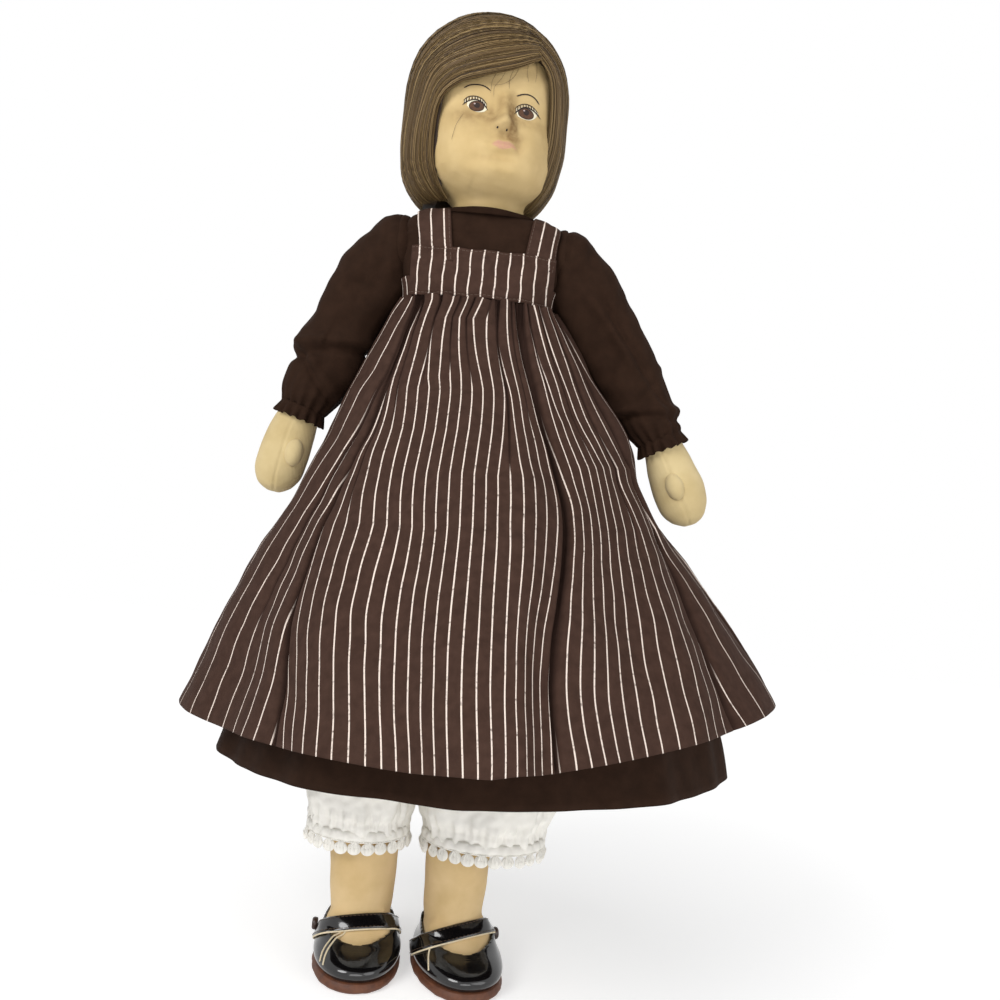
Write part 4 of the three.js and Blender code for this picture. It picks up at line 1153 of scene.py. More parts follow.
def build_hand(side):
    """The arm with its mitten hand, and the thumb that is sewn to it."""
    rows = side_rows(arm_rows, side)
    top = lathe_shell(arm_top_profile, side, (0, 0, shoulder_height))
    points, faces, normals = fused([closed_shell(limb_grid(rows, 64, 90)), top], 0.8, 5)
    along, across, length = way_along(points, rows)
    front = np.clip(-points[:, 1] / 5, 0, 1)
    seam_at = 1.2 * side_signs[side] + 0.04 * (length - along)
    push = -0.55 * bell(across, seam_at, 0.55) * front + 0.12 * bell(across, seam_at, 1.6) * front
    push += Ripple(45, 16)(points) * 0.15
    points = points + normals * push[:, None]
    make_piece(f"arm_{side}_cloth", points, faces, "skin_cloth", f"arm_{side}", [f"arm_{side}"])
    egg = ball_rings(48, 28, 0.05) * np.array(thumb_size)
    x, z = rotated(egg[..., 0], egg[..., 2], math.radians(thumb_lean[side]))
    shell = closed_shell(np.stack([x, egg[..., 1], z], 2) + np.array(thumb_places[side]))
    make_piece(f"thumb_{side}_cloth", *shell, "skin_cloth", f"arm_{side}", [f"thumb_{side}"])


# Legs, bloomers and lace

leg_rows = {
    "right": [
        [-38, 226, 18.5, 24], [-37, 200, 20.5, 23.5], [-35, 160, 20, 20.5], [-34, 130, 19, 18.5],
        [-32.8, 100, 18.4, 18.5], [-31.6, 60, 17.8, 17], [-30.5, 34, 16.6, 16], [-30, 18, 14.4, 15],
    ],
    "left": [
        [32, 226, 18.5, 24], [30.5, 200, 20.5, 23.5], [26, 160, 20, 20.5], [22.6, 130, 18.8, 18.5],
        [19.6, 100, 18, 18.5], [16.8, 60, 16.8, 17], [17.2, 34, 15.6, 16], [17.4, 18, 14, 15],
    ],
}
thigh_profile = [(16.6, 24), (19, 26.5), (27, 28.5), (37, 26.5), (46, 20), (51, 11), (53, 0.5)]
bloomer_rows = {
    "right": [
        [-38, 232, 22, 27], [-37, 204, 24.5, 27], [-36.5, 150, 26.4, 26], [-36.6, 100, 28, 25.5],
        [-35.5, 79, 27.2, 24.6], [-35.5, 70, 24.8, 22.6], [-35.5, 66.2, 25.4, 22.5],
    ],
    "left": [
        [32, 232, 22, 27], [31.5, 204, 25, 27], [31, 150, 29, 27], [30.5, 100, 33.6, 26],
        [29, 79, 33.6, 25.4], [29, 70, 30.2, 23.6], [29, 66.2, 30.8, 23.5],
    ],
}
# Gathers round the bloomers' hem, which the lace follows
bloomer_gathers = 26
bloomer_top_profile = [(17, 29.8), (21, 30.6), (28, 31), (39, 28.8), (49, 22.5), (55, 12), (57.5, 0.5)]
hip_middle = -3
hip_height = 236
foot_turns = {"right": 5, "left": 17}
ankle_x = {"right": -30, "left": 17.4}
foot_middle = -10
foot_taper_share = 0.13


def shoe_ring(turns, ring, grow):
    height, half_width, front, back, squareness = ring
    front, behind = front + foot_middle + grow, back - foot_middle + grow
    plan = plan_ring(turns, half_width + grow, front, behind, squareness)
    narrowing = np.minimum(1 - foot_taper_share * plan[:, 1] / (back - foot_middle), 1)
    return np.column_stack([plan[:, 0] * narrowing, plan[:, 1] + foot_middle, np.full(len(turns), height)])


def shoe_grid(rings, heights, around=96, grow=0.0):
    table = np.array(rings, float)
    turns = even_turns(around)
    found = curve_through(table[:, 0], table[:, 1:], heights)
    return np.array([shoe_ring(turns, [height, *row], grow) for height, row in zip(heights, found)])


def on_foot(points, side):
    x, y = rotated(points[..., 0], points[..., 1], math.radians(foot_turns[side]))
    return np.stack([x + ankle_x[side], y, points[..., 2]], -1)


upper_rings = [
    [5.1, 20.0, 44.6, 23.8, 2.3], [8, 21.6, 46.2, 25, 2.3], [12, 21.2, 43.8, 25, 2.2],
    [14.6, 19.8, 37.5, 24.6, 2.2], [16.6, 19.2, 31, 24.4, 2.1], [19.8, 18.6, 25.5, 24.3, 2.1],
    [24.5, 17.4, 21, 23.8, 2], [27.5, 15, 17.5, 22, 2],
]
sole_rings = [
    [0, 20.2, 44.6, 24.2, 2.3], [0.5, 20.9, 45.4, 24.9, 2.3], [4.4, 21, 45.6, 25, 2.3],
    [4.8, 20.7, 45.3, 24.7, 2.3],
]
vamp_edge = -29
vamp_height = 17
topline_lean = 8
opening_half_width = 16.4
opening_back = 24.4
# Inside the shoe: how far the foot lies in from the shoe's outer face, and its lowest and top heights
foot_inset = 1.8
foot_span = (6.9, 25.6)


def foot_grid():
    rings = [
        [height - foot_inset, *(value - foot_inset for value in plan[:3]), plan[3]]
        for height, *plan in upper_rings
    ]
    return shoe_grid(rings, np.linspace(*foot_span, 20))


def build_leg(side):
    thigh = lathe_shell(thigh_profile, side, (hip_middle, 0, hip_height))
    leg = closed_shell(limb_grid(leg_rows[side], 64, 90))
    points, faces, normals = fused([leg, thigh, closed_shell(on_foot(foot_grid(), side))], 1.2, 4)
    points = points + normals * (Ripple(51, 24)(points) * 0.25)[:, None]
    make_piece(f"leg_{side}_cloth", points, faces, "leg_cloth", f"leg_{side}", [f"leg_{side}"])


def build_bloomer(side):
    grid = limb_grid(bloomer_rows[side], 240, 150)
    direction = unit(grid - grid.mean(1, keepdims=True))
    turns = even_turns(240)
    height = grid[..., 2]
    low = np.clip((height - 66) / 40, 0, 1)
    gather = 0.8 * np.cos(bloomer_gathers * turns + 3 * np.sin(2 * turns)) * np.exp(-np.abs(height - 73) / 7)
    fold = 1.5 * np.cos(8 * turns + 1.2 * np.sin(3 * turns)) * np.exp(-np.abs(height - 84) / 22)
    crinkle = Ripple(61 if side == "left" else 62, 26, stretch=(1, 1, 1.5))(grid) * 1.5
    fine = Ripple(63, 8)(grid) * 0.3
    heading = -0.4 * bell(height, 72.2, 1.2) + 0.3 * bell(height, 70, 1.2)
    heading += 0.5 * np.cos(2 * bloomer_gathers * turns + 4 * np.sin(3 * turns)) * bell(height, 73, 4)
    grid = grid + direction * (gather + fold + crinkle * low + fine + heading)[..., None]
    rim = grid[-6:][::-1] - direction[-6:][::-1] * 0.8
    top = lathe_shell(bloomer_top_profile, side, (hip_middle, 0, hip_height))
    shell = joined([open_shell(np.concatenate([grid, rim])), top])
    make_piece(f"bloomer_leg_{side}_cloth", *shell, "white_cotton", f"leg_{side}", [f"bloomer_leg_{side}"])


lace_pitch = 6.5
# Levels of the lace under the bloomers' edge, and of its heading the way out and how far it waves
picot_level, thread_level, scallop_level = -2.7, -2.8, -6.0
lace_heading = [(2.2, -0.6, 1.0), (0.6, 0.2, 1.0), (-0.8, 0.5, 0.8), (-2.0, 0.5, 0.4), (-2.6, 0.4, 0.2)]
scallop_half_width, scallop_half_depth, scallop_half_height = 3.55, 1.15, 3.0
spoke_reach = 3.4


def scallop_shells(ring_at, turn, count, lift):
    """One crocheted shell of the lace, leaning a little, with three spokes and their ridges."""
    middle = ring_at(np.array(turn), scallop_level, lift)
    out = np.array([math.cos(turn), math.sin(turn), 0])
    across = np.array([-math.sin(turn), math.cos(turn), 0])
    tilt = 0.18
    axes = np.array([
        across * scallop_half_width,
        (out + np.array([0, 0, tilt])) * scallop_half_depth,
        np.array([0, 0, scallop_half_height]) - out * tilt * scallop_half_height,
    ])
    shells = [ball_shell(middle, axes, 22, 12)]
    for spoke in (-0.55, 0, 0.55):
        start = ring_at(np.array(turn + spoke * math.pi / count * 0.35), thread_level, 0.6)
        end = middle + across * spoke * spoke_reach + out * 0.7 + np.array([0, 0, 0.6])
        shells.append(tube_shell(np.linspace(start, end, 5), 0.55, 6))
        ridge = [
            middle + out * (scallop_half_depth + 0.1) * math.cos(a)
            + across * spoke * spoke_reach * math.cos(a * 0.6) + np.array([0, 0, -2.7 * math.sin(a)])
            for a in np.linspace(-0.3, 1.35, 9)
        ]
        shells.append(tube_shell(ridge, 0.3, 5))
    return shells


def build_lace(side):
    """Gathered heading, a picot thread, and overlapping crocheted shells with gaps between them."""
    x, z, half_width, half_depth = bloomer_rows[side][-1]
    count = round(math.pi * (half_width + half_depth) / lace_pitch)
    turns = even_turns(480)

    def ring_at(turn, height, out=0.0):
        return np.stack([
            x + (half_width + out) * np.cos(turn), (half_depth + out) * np.sin(turn), z + height + 0 * turn,
        ], -1)

    length = lengths_along(ring_at(turns, 0.0))

    def turn_of(share):
        """The turn where this share of the way round the edge is behind."""
        return np.array(np.interp(share % 1 * length[-1], length, turns))

    wave = 0.5 * np.cos(bloomer_gathers * turns)
    heading = np.array([ring_at(turns, level, out + wave * bend) for level, out, bend in lace_heading])
    shells = [cloth_shell(heading, 0.8), tube_shell(ring_at(turns, thread_level, 0.5), 0.42, closed=True)]
    picots = count * 5
    for index in range(picots):
        shells.append(ball_shell(ring_at(turn_of(index / picots), picot_level, 0.8), (0.5, 0.5, 0.4), 6, 4))
    for index in range(count):
        turn = float(turn_of((index + 0.5) / count))
        shells += scallop_shells(ring_at, turn, count, 0.6 + 0.3 * (-1) ** index)
    make_piece(f"lace_{side}_crochet", *joined(shells), "white_cotton", f"leg_{side}", [f"lace_{side}"])


# Head and face. Places on the face are sideways and height in the head's own turned place.

head_turn = math.radians(11)
head_rings = [
    [0.3, 18, 18, 18, 2], [7.2, 18, 18, 18, 2], [11.7, 19.5, 21, 19.5, 2.1], [14.7, 22, 27.5, 21, 2.2],
    [18.2, 25, 32.5, 23, 2.2], [24.2, 27.5, 35, 26, 2.2], [34.2, 29.5, 36, 30, 2.2],
    [44.2, 30.5, 35.6, 34, 2.2], [55.2, 31, 35.4, 36.5, 2.1], [67.2, 31, 35, 37.5, 2.1],
    [79.2, 29, 32, 36, 2.1], [89.2, 24.5, 26.5, 31, 2], [97.2, 17, 18.5, 22, 2], [101.7, 8, 9, 11, 2],
]

# Forms of the face: sideways, height, spread sideways and in height, and how far they stand out
face_forms = [
    (-1.8, 417.6, 3.3, 2.9, 5.4), (-1.9, 423.5, 2.6, 5.5, 2.6), (-2.2, 430, 2.6, 5, 1.0),
    (-5.4, 416.4, 1.9, 1.9, 1.5), (1.9, 416.2, 1.9, 1.9, 1.5),
    (-15.4, 425, 7.5, 4.6, -1.7), (9.2, 425, 7, 4.6, -1.7),
    (-6.5, 424, 2.4, 4.5, -0.9), (2.8, 424, 2.4, 4.5, -0.9),
    (-15.4, 433.5, 8, 2.6, 0.8), (9.3, 433, 8, 2.6, 0.8),
    (-17.5, 411.5, 8, 6.5, 1.7), (14, 411.5, 7.5, 6.5, 1.7),
    (-3.6, 408.5, 2.6, 1.3, 1.2), (1.2, 408.5, 2.6, 1.3, 1.2), (-1.2, 405.7, 4.0, 1.3, 1.3),
    (-1.2, 407.2, 5.5, 0.5, -0.5), (-1.2, 402.6, 6.5, 1.5, -1.1), (-1.3, 412, 1.5, 1.8, -0.6),
    (-7.6, 407.2, 1.4, 1.6, -0.6), (6.2, 406.8, 1.4, 1.8, -0.8),
    (-1.5, 396.5, 9, 5, 2.0), (-1.5, 401.2, 9, 0.8, -0.25), (-27, 410, 8, 22, 3.5),
]

# Painted shade mixed into the face's colour beside and under the nose, round the eyes, at the face's edges
# and under the fringe, with a faint brown stain on the chin: sideways, height, spreads, strength
painted_face_shade = [
    (2.0, 421.5, 1.3, 4.6, 1.1), (3.1, 417, 1.0, 2.6, 1.15), (-1.6, 428.4, 2.4, 2.2, 0.6),
    (-7.5, 423.5, 2.6, 3.2, 0.35), (-15.5, 420.3, 6.5, 1.8, 0.4), (9.5, 420.4, 5.5, 1.7, 0.4),
    (-1.0, 412.0, 4.6, 1.6, 0.6), (4.2, 410.6, 2.2, 1.6, 0.5), (6.6, 406.4, 1.2, 1.6, 0.45),
    (-20, 419, 4.5, 3.5, 0.3), (-8, 400.9, 5, 1.0, 0.25), (-13.5, 390.5, 0.6, 1.3, 0.2),
    (-7.5, 419.5, 1.6, 2.6, 0.3),
    (-15.5, 438, 9, 2.5, 0.3), (12, 446, 7, 3, 0.25), (20, 412, 3, 18, 0.2),
]
# How much wider than listed each patch of painted shade spreads
painted_shade_softness = 1.25
lip_top = [
    (-7.2, 407.0), (-5.6, 408.2), (-3.8, 409.1), (-1.6, 408.6), (0.9, 409.1), (3.4, 408.2), (5.9, 406.4),
]
lip_bottom = [
    (-7.2, 406.9), (-5.2, 406.1), (-3.4, 405.2), (-1.2, 405.0), (1.4, 405.9), (3.6, 406.8), (5.9, 405.8),
]

eyes = {
    "right": {
        "iris": (-15.2, 425.3, 3.7, 2.75), "pupil": (-15.0, 425.8, 1.45, 1.35), "light": (-16.2, 426.5),
        "rim": [
            (-19.8, 425.7), (-18.6, 424.1), (-17.1, 423.0), (-15.2, 422.4), (-13.0, 422.4), (-11.4, 423.0),
            (-10.2, 424.4), (-11.0, 425.9), (-12.8, 427.3), (-15.6, 428.2), (-18.2, 427.9), (-19.6, 427.0),
        ],
        "lash": [(-21.9, 425.3), (-20.6, 426.6), (-18.6, 427.9), (-16, 428.5), (-12.9, 427.5), (-9.8, 423.9)],
        "crease": [(-21.6, 427.6), (-19.6, 429.4), (-16.4, 429.9), (-13, 429.0), (-10.3, 426.6)],
        "brow": [(-21.9, 433.4), (-19.5, 434.7), (-16, 435.1), (-12.7, 434.6), (-9.6, 432.9)],
    },
    "left": {
        "iris": (9.0, 425.3, 4.1, 2.75), "pupil": (9.0, 425.9, 1.5, 1.35), "light": (7.8, 426.6),
        "rim": [
            (4.3, 424.6), (4.9, 423.4), (6.5, 422.7), (8.8, 422.3), (11.4, 422.7), (13.5, 424.0),
            (14.7, 425.9), (14.2, 427.2), (12.0, 427.8), (8.6, 428.2), (5.6, 427.1), (4.2, 425.8),
        ],
        "lash": [(3.0, 423.9), (4.8, 426.0), (8.2, 428.2), (12, 427.8), (14.6, 426.6), (16.8, 425.0)],
        "crease": [(3.0, 426.5), (5.0, 428.4), (8.5, 429.6), (11.9, 429.2), (15.2, 427.4)],
        "brow": [(3.1, 432.0), (6.3, 433.4), (9.3, 433.9), (12.4, 433.3), (15.3, 431.4)],
    },
}
# How far each layer of an eye's paint lies off the face, the dark rim of an iris, and the light in it
white_lift, rim_lift, iris_lift, pupil_lift, light_lift = 0.10, 0.16, 0.21, 0.26, 0.31
iris_rim = 0.35
light_size = (0.45, 0.38)
# Painted lines: width, how far off the face they lie, and the shares of the width at their ends
line_taper = (0.35, 0.35)
eye_lines = {
    "lash": (0.55, 0.30, line_taper), "crease": (0.42, 0.22, line_taper), "brow": (0.62, 0.18, (0.5, 0.4)),
}
nostrils = [(-5.2, 414.4), (-0.6, 414.0)]
stray_hairs = [
    [(-6, 444), (-9, 438), (-9.5, 432)], [(-2, 446), (-5, 439), (-8, 434), (-7.5, 430)],
    [(4, 449), (1, 441), (-4, 436.5), (-9, 435.5)], [(8, 451), (7.5, 445), (8.5, 440)],
    [(12, 452), (12.5, 446), (12, 441)], [(1, 446), (-1, 438.5), (-1, 434)],
    [(-21, 421), (-24, 415), (-25.5, 408)],
]


def on_head(points):
    x, y = rotated(points[..., 0], points[..., 1], head_turn)
    return np.stack([x + neck_base[0], y, points[..., 2]], -1)


def off_head(points):
    """Places in the head's own turned place of points in the doll's."""
    x, y = rotated(points[..., 0] - neck_base[0], points[..., 1], -head_turn)
    return np.stack([x, y, points[..., 2]], -1)


def sum_of_bells(bells, x, z):
    total = np.zeros(np.shape(x))
    for at_x, at_z, wide, tall, strength in bells:
        total += strength * bell(x, at_x, wide * math.sqrt(2)) * bell(z, at_z, tall * math.sqrt(2))
    return total


def head_grid():
    base = neck_base[2]
    turn = np.linspace(-math.pi, math.pi, 300, endpoint=False)
    turns = -math.pi / 2 + turn - 0.5 * np.sin(turn)
    grid = plan_grid(head_rings, base, base + ring_heights(head_rings, 270), turns)
    x, y, z = grid[..., 0], grid[..., 1], grid[..., 2]
    cheek = np.clip((-x - 6) / 16, 0, 1) * np.clip((z - base - 9) / 14, 0, 1)
    cheek = cheek * np.clip((base + 70 - z) / 12, 0, 1)
    grid[..., 0] = x = x * (1 + 0.22 * cheek)
    front = np.clip(-y / 14, 0, 1)
    grid[..., 1] = y - sum_of_bells(face_forms, x, z) * front
    grid = grid + outward(grid) * (Ripple(71, 20)(grid) * 0.16 + Ripple(72, 7)(grid) * 0.05)[..., None]
    return grid, front


def lips_share(x, z):
    top = np.interp(x, *zip(*lip_top))
    bottom = np.interp(x, *zip(*lip_bottom))
    inside = np.clip((top - z) / 0.6 + 0.5, 0, 1) * np.clip((z - bottom) / 0.6 + 0.5, 0, 1)
    return inside * np.clip((x - lip_top[0][0]) / 1.2, 0, 1) * np.clip((lip_top[-1][0] - x) / 1.2, 0, 1)


def build_head():
    """Makes the head, and returns the surface that the face is painted on."""
    grid, front = head_grid()
    x, z = grid[..., 0], grid[..., 2]
    points, faces = closed_shell(grid)
    # The shade mark carries the painted shade, the lips mark the lips' colour
    soft = [
        (x_at, z_at, wide * painted_shade_softness, high * painted_shade_softness, strength)
        for x_at, z_at, wide, high, strength in painted_face_shade
    ]
    shade = np.clip(sum_of_bells(soft, x, z), 0, 1) * front
    lips = lips_share(x, z) * front
    marks = {"shade": np.append(shade.ravel(), [0, 0]), "lips": np.append(lips.ravel(), [0, 0])}
    points_on_head = on_head(points)
    make_piece("head_cloth", points_on_head, faces, "face_cloth", "head", ["head"], "skin_cloth", marks=marks)
    return surface_tree(points, faces)


def painted_on(tree, places, lift):
    """Points over the face at these sideways places and heights, this far off it."""
    found = []
    for x, z in np.asarray(places, float).reshape(-1, 2):
        hit, normal = tree.ray_cast(Vector((x, -70, z)), Vector((0, 1, 0)))[:2]
        if hit is None:
            hit, normal = tree.find_nearest(Vector((x, 0, z)))[:2]
        if normal.y > 0:
            normal = -normal
        found.append(list(hit + normal * lift))
    return np.array(found).reshape(*np.shape(places)[:-1], 3)


def smooth_path(points, count):
    along = lengths_along(points)
    return curve_through(along, points, np.linspace(0, along[-1], count))


def patch_shell(tree, outline, lift):
    """A filled patch of paint on the face."""
    middle = outline.mean(0)
    rows = [middle + (outline - middle) * share for share in np.linspace(1, 0.04, 9)]
    return open_shell(painted_on(tree, np.array(rows), lift))


def closed_curve(points):
    """A smooth outline that closes on itself."""
    points = [*points[-2:], *points, *points[:3]]
    along = lengths_along(points)
    return curve_through(along, points, np.linspace(along[2], along[-3], 48, endpoint=False))


def ellipse(middle_x, middle_z, half_width, half_height, count=40):
    turns = even_turns(count)
    return np.column_stack([middle_x + half_width * np.cos(turns), middle_z + half_height * np.sin(turns)])


def line_shell(tree, path, width, lift, count=40, taper=line_taper):
    """A painted or sewn line along the face that thins towards its ends."""
    path = smooth_path(path, count)
    way = unit(np.gradient(path, axis=0))
    share = np.linspace(0, 1, count)
    ends = np.minimum(1, np.minimum(taper[0] + share * 6, taper[1] + (1 - share) * 6))
    side = np.column_stack([-way[:, 1], way[:, 0]]) * (width * ends / 2)[:, None]
    return open_shell(painted_on(tree, np.stack([path - side, path, path + side], 1), lift), closed=False)


def build_face(tree):
    whites, browns, blacks, lights, lines = [], [], [], [], []
    for eye in eyes.values():
        x, z, half_width, half_height = eye["iris"]
        inner = (half_width - iris_rim, half_height - iris_rim)
        whites.append(patch_shell(tree, closed_curve(eye["rim"]), white_lift))
        blacks.append(patch_shell(tree, ellipse(*eye["iris"]), rim_lift))
        browns.append(patch_shell(tree, ellipse(x, z, *inner), iris_lift))
        blacks.append(patch_shell(tree, ellipse(*eye["pupil"]), pupil_lift))
        lights.append(patch_shell(tree, ellipse(*eye["light"], *light_size), light_lift))
        for part, (width, lift, taper) in eye_lines.items():
            lines.append(line_shell(tree, eye[part], width, lift, taper=taper))
        lash = smooth_path(eye["lash"], 60)
        crease = smooth_path(eye["crease"], 60)
        for number, share in enumerate(np.linspace(0.06, 0.94, 19)):
            at = round(share * 59)
            start, end = lash[at], crease[at]
            end = start + (end - start) * 0.85
            shell = line_shell(tree, [start, (start + end) / 2, end], 0.3, 0.25, 6)
            (whites if number % 2 else lines).append(shell)
    for place in nostrils:
        blacks.append(patch_shell(tree, ellipse(*place, 0.42, 0.45, 20), 0.12))
    hairs = [line_shell(tree, path, 0.13, 0.3, 30) for path in stray_hairs]
    for name, shells, finish in (
        ("eye_whites_paint", whites, "white_paint"), ("eye_irises_paint", browns, "brown_paint"),
        ("eye_outlines_paint", blacks, "black_paint"), ("eye_lights_paint", lights, "light_paint"),
        ("eye_lines_paint", lines, "black_paint"), ("stray_hairs", hairs, "hair"),
    ):
        points, faces = joined(shells)
        make_piece(name, on_head(points), faces, finish, "head", slot="skin_cloth")


# Wig

wig_shift = -4.6
wig_rings = [
    [7.7, 29, 5, 31, 2], [11.2, 33, 11, 35.5, 2], [20.2, 39, 21, 42, 2.1], [34.2, 41.5, 30, 45, 2.1],
    [54.2, 41.5, 37, 47, 2.1], [74.2, 40.5, 40, 47, 2.1], [89.2, 36, 37, 43.5, 2], [99.2, 28.5, 30, 35, 2],
    [106.5, 18, 19, 23, 2], [109.2, 8, 9, 11, 2],
]
wig_middle = (-3.0, 0.0, 432.0)


def trimmed(points):
    """The hair lies closer than the cap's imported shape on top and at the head's left side."""
    points = np.array(points, float)
    x, z = points[..., 0], points[..., 2] - neck_base[2]
    points[..., 2] = np.where(z > 54, 54 + (z - 54) * 0.89, z) + neck_base[2]
    close = 0.06 + 0.09 * np.clip((40 - z) / 30, 0, 1)
    points[..., 0] = np.where(x > 5, 5 + (x - 5) * (1 - close), x)
    return points


# How the hair lies: lines from the parting to the ends, from the face round to the back of the head
hair_right = [
    [(15, -38, 456), (0, -40, 445.8), (-14, -38, 440.2), (-24, -33, 436.4), (-30.4, -27, 430),
     (-33, -22, 415), (-33, -17, 396), (-28.5, -10, 380)],
    [(14, -34, 463), (-4, -38, 455), (-20, -34, 448), (-32, -25, 440), (-37, -19, 425), (-39, -13, 405),
     (-35, -8, 385)],
    [(13, -28, 470), (-8, -32, 466), (-26, -26, 458), (-37, -16, 446), (-43, -9, 425), (-44, -4, 405),
     (-42, -2, 386)],
    [(12, -18, 478), (-10, -20, 478), (-28, -15, 468), (-40, -7, 450), (-45, 0, 425), (-45, 4, 402),
     (-42, 6, 385)],
    [(10, -5, 484), (-12, -5, 484), (-31, 0, 470), (-42, 7, 450), (-44, 14, 425), (-43, 18, 402),
     (-38, 20, 385)],
    [(8, 8, 486), (-10, 12, 483), (-28, 18, 469), (-36, 25, 450), (-37, 31, 425), (-34, 34, 402),
     (-30, 32, 385)],
    [(6, 18, 484), (-6, 26, 477), (-18, 34, 462), (-22, 42, 445), (-22, 46, 425), (-20, 46, 402),
     (-18, 42, 385)],
    [(4, 24, 481), (1.5, 35, 472), (0.5, 43, 458), (0, 48, 440), (0, 49, 420), (0, 48, 400), (0, 43, 385)],
]
hair_left = [
    [(14.4, -38.6, 456.4), (19.6, -34, 448.6), (22.6, -30, 436), (24, -26, 420), (22.5, -19, 402),
     (19.5, -8, 385)],
    [(15, -34, 463), (23, -29, 455), (28, -23, 440), (30, -17, 420), (29, -12, 402), (26, -6, 385)],
    [(14, -26, 471), (25, -20, 462), (32, -12, 445), (36, -6, 422), (35, -2, 402), (32, 0, 386)],
    [(13, -12, 480), (25, -8, 470), (33, -1, 452), (37, 5, 425), (35, 9, 402), (31, 11, 386)],
    [(11, 0, 485), (22, 6, 474), (30, 14, 455), (33, 20, 428), (31, 24, 402), (27, 25, 386)],
    [(8, 12, 485), (15, 20, 475), (22, 30, 456), (24, 36, 430), (22, 39, 402), (19, 37, 385)],
    [(5, 22, 482), (8, 33, 471), (10, 42, 452), (11, 46, 430), (10, 47, 402), (8, 42, 385)],
    [(4, 24, 481), (1.5, 36, 470), (0.5, 44, 455), (0, 48, 432), (0, 48, 402), (0, 43, 385)],
]
strand_points = 26
strands_a_side = {"right": 2600, "left": 1700}
clumps_a_side = 150


def wig_surface():
    heights = neck_base[2] + ring_heights(wig_rings, 90)
    grid = plan_grid(wig_rings, neck_base[2], heights, even_turns(120))
    grid[..., 0] += wig_shift
    return surface_tree(*closed_shell(grid))


def on_surface(tree, points, lifts):
    """Points moved along lines from the middle of the wig until they lie this far over its surface."""
    middle = Vector(wig_middle)
    found = []
    for point, lift in zip(points, lifts):
        way = (Vector(point) - middle).normalized()
        hit = tree.ray_cast(middle, way)[0]
        found.append(list(hit + way * float(lift)))
    return np.array(found)


def whole_line(guide):
    """The line from a few millimetres past the parting down to an end that is tucked in."""
    line = np.array(guide, float)
    back = (line[0] - line[1]) / np.linalg.norm(line[0] - line[1]) * 5.5
    end = line[-1] * np.array([0.9, 0.9, 0]) + np.array([0, 0, 376.0])
    return np.concatenate([[line[0] + back], line[:-1], [end]])


def between_lines(lines, at, along):
    """Places this share along the guide lines, between the two that `at` lies between."""
    low = np.clip(np.floor(at).astype(int), 0, len(lines) - 2)
    part = (at - low)[:, None]
    row = along * (strand_points - 1)
    first = np.minimum(row.astype(int), strand_points - 2)
    step = (row - first)[:, None]
    near = lines[low, first] * (1 - step) + lines[low, first + 1] * step
    far = lines[low + 1, first] * (1 - step) + lines[low + 1, first + 1] * step
    return near + (far - near) * part


def build_strands(side, guides, tree):
    """Flat strands, each drawn by chance in or between clumps and laid over the wig's surface."""
    chance = np.random.default_rng(81 if side == "right" else 82)
    lines = np.array([smooth_path(whole_line(guide), strand_points) for guide in guides])
    clumps = chance.uniform(-0.12, len(guides) - 1, clumps_a_side)
    shares = np.linspace(0, 1, strand_points)
    points, faces, tones = [], [], []
    for number in range(strands_a_side[side]):
        if chance.random() < 0.45:
            start = clumps[chance.integers(len(clumps))] + chance.normal(0, 0.05)
        else:
            start = chance.uniform(-0.12, len(guides) - 1)
        drift = chance.normal(0, 0.10)
        begin = chance.uniform(0, 0.09) if chance.random() < 0.8 else chance.uniform(0, 0.35)
        end = chance.uniform(0.93, 1.02)
        along = np.clip(begin + (end - begin) * shares, 0, 1)
        at = np.clip(start + drift * along, -0.15, len(guides) - 1)
        lift = chance.uniform(0.1, 1.5) * (0.35 + 0.65 * np.sin(math.pi * np.clip(shares, 0.02, 0.85)))
        path = on_surface(tree, between_lines(lines, at, along), lift)
        way = unit(np.gradient(path, axis=0), 1e-9)
        out = unit(path - np.array(wig_middle))
        across = unit(np.cross(way, out), 1e-9)
        roll = chance.normal(0, 0.5)
        wide = across * math.cos(roll) + np.cross(across, way) * math.sin(roll)
        taper = np.minimum(1, np.minimum(0.5 + shares * 8, 0.1 + (1 - shares) * 7))
        half = (chance.uniform(0.10, 0.30) * taper)[:, None]
        strip = np.stack([path - wide * half, path + out * half * 0.35, path + wide * half], 1)
        points.append(strip.reshape(-1, 3))
        faces += grid_faces(strand_points, 3, first=number * strand_points * 3)
        tones.append(np.full(strand_points * 3, chance.beta(1.6, 2.2)))
    points = on_head(trimmed(np.concatenate(points)))
    marks = {"tone": np.concatenate(tones)}
    make_piece(f"hair_{side}", points, faces, "hair_strands", "head", slot="hair", marks=marks)


def build_wig():
    points, faces, normals = fused([node_shell("wig")], 0.9, 6)
    points = on_head(trimmed(off_head(points - normals * 0.35)))
    make_piece("wig_cap", points, faces, "hair_cap", "head", ["wig"], "hair")
    tree = wig_surface()
    build_strands("right", hair_right, tree)
    build_strands("left", hair_left, tree)


# Shoes

upper_wall = 1.5
inner_floor = 6.6
shoe_strap_lift, shoe_strap_thickness = 0.9, 1.3
insole_rings = [[5.4, 15.8, 40.2, 19.8, 2.3], [6.0, 15.9, 40.3, 19.9, 2.3], [6.5, 15.8, 40.2, 19.8, 2.3]]
strap_lean = math.radians(31)
strap_width = 7.6
strap_middle = (0, -4, 14.1)
strap_sweep = 106
strap_tilts = {"right": 7, "left": 11}
button_place = (-3, 14.2)
shoe_button_profile = [
    (21.2, 0.4), (21.2, 2.7), (21.8, 3.0), (22.8, 3.1), (23.6, 2.9), (24, 2.4), (23.7, 1.9), (23.3, 1.5),
    (23.2, 0.2),
]


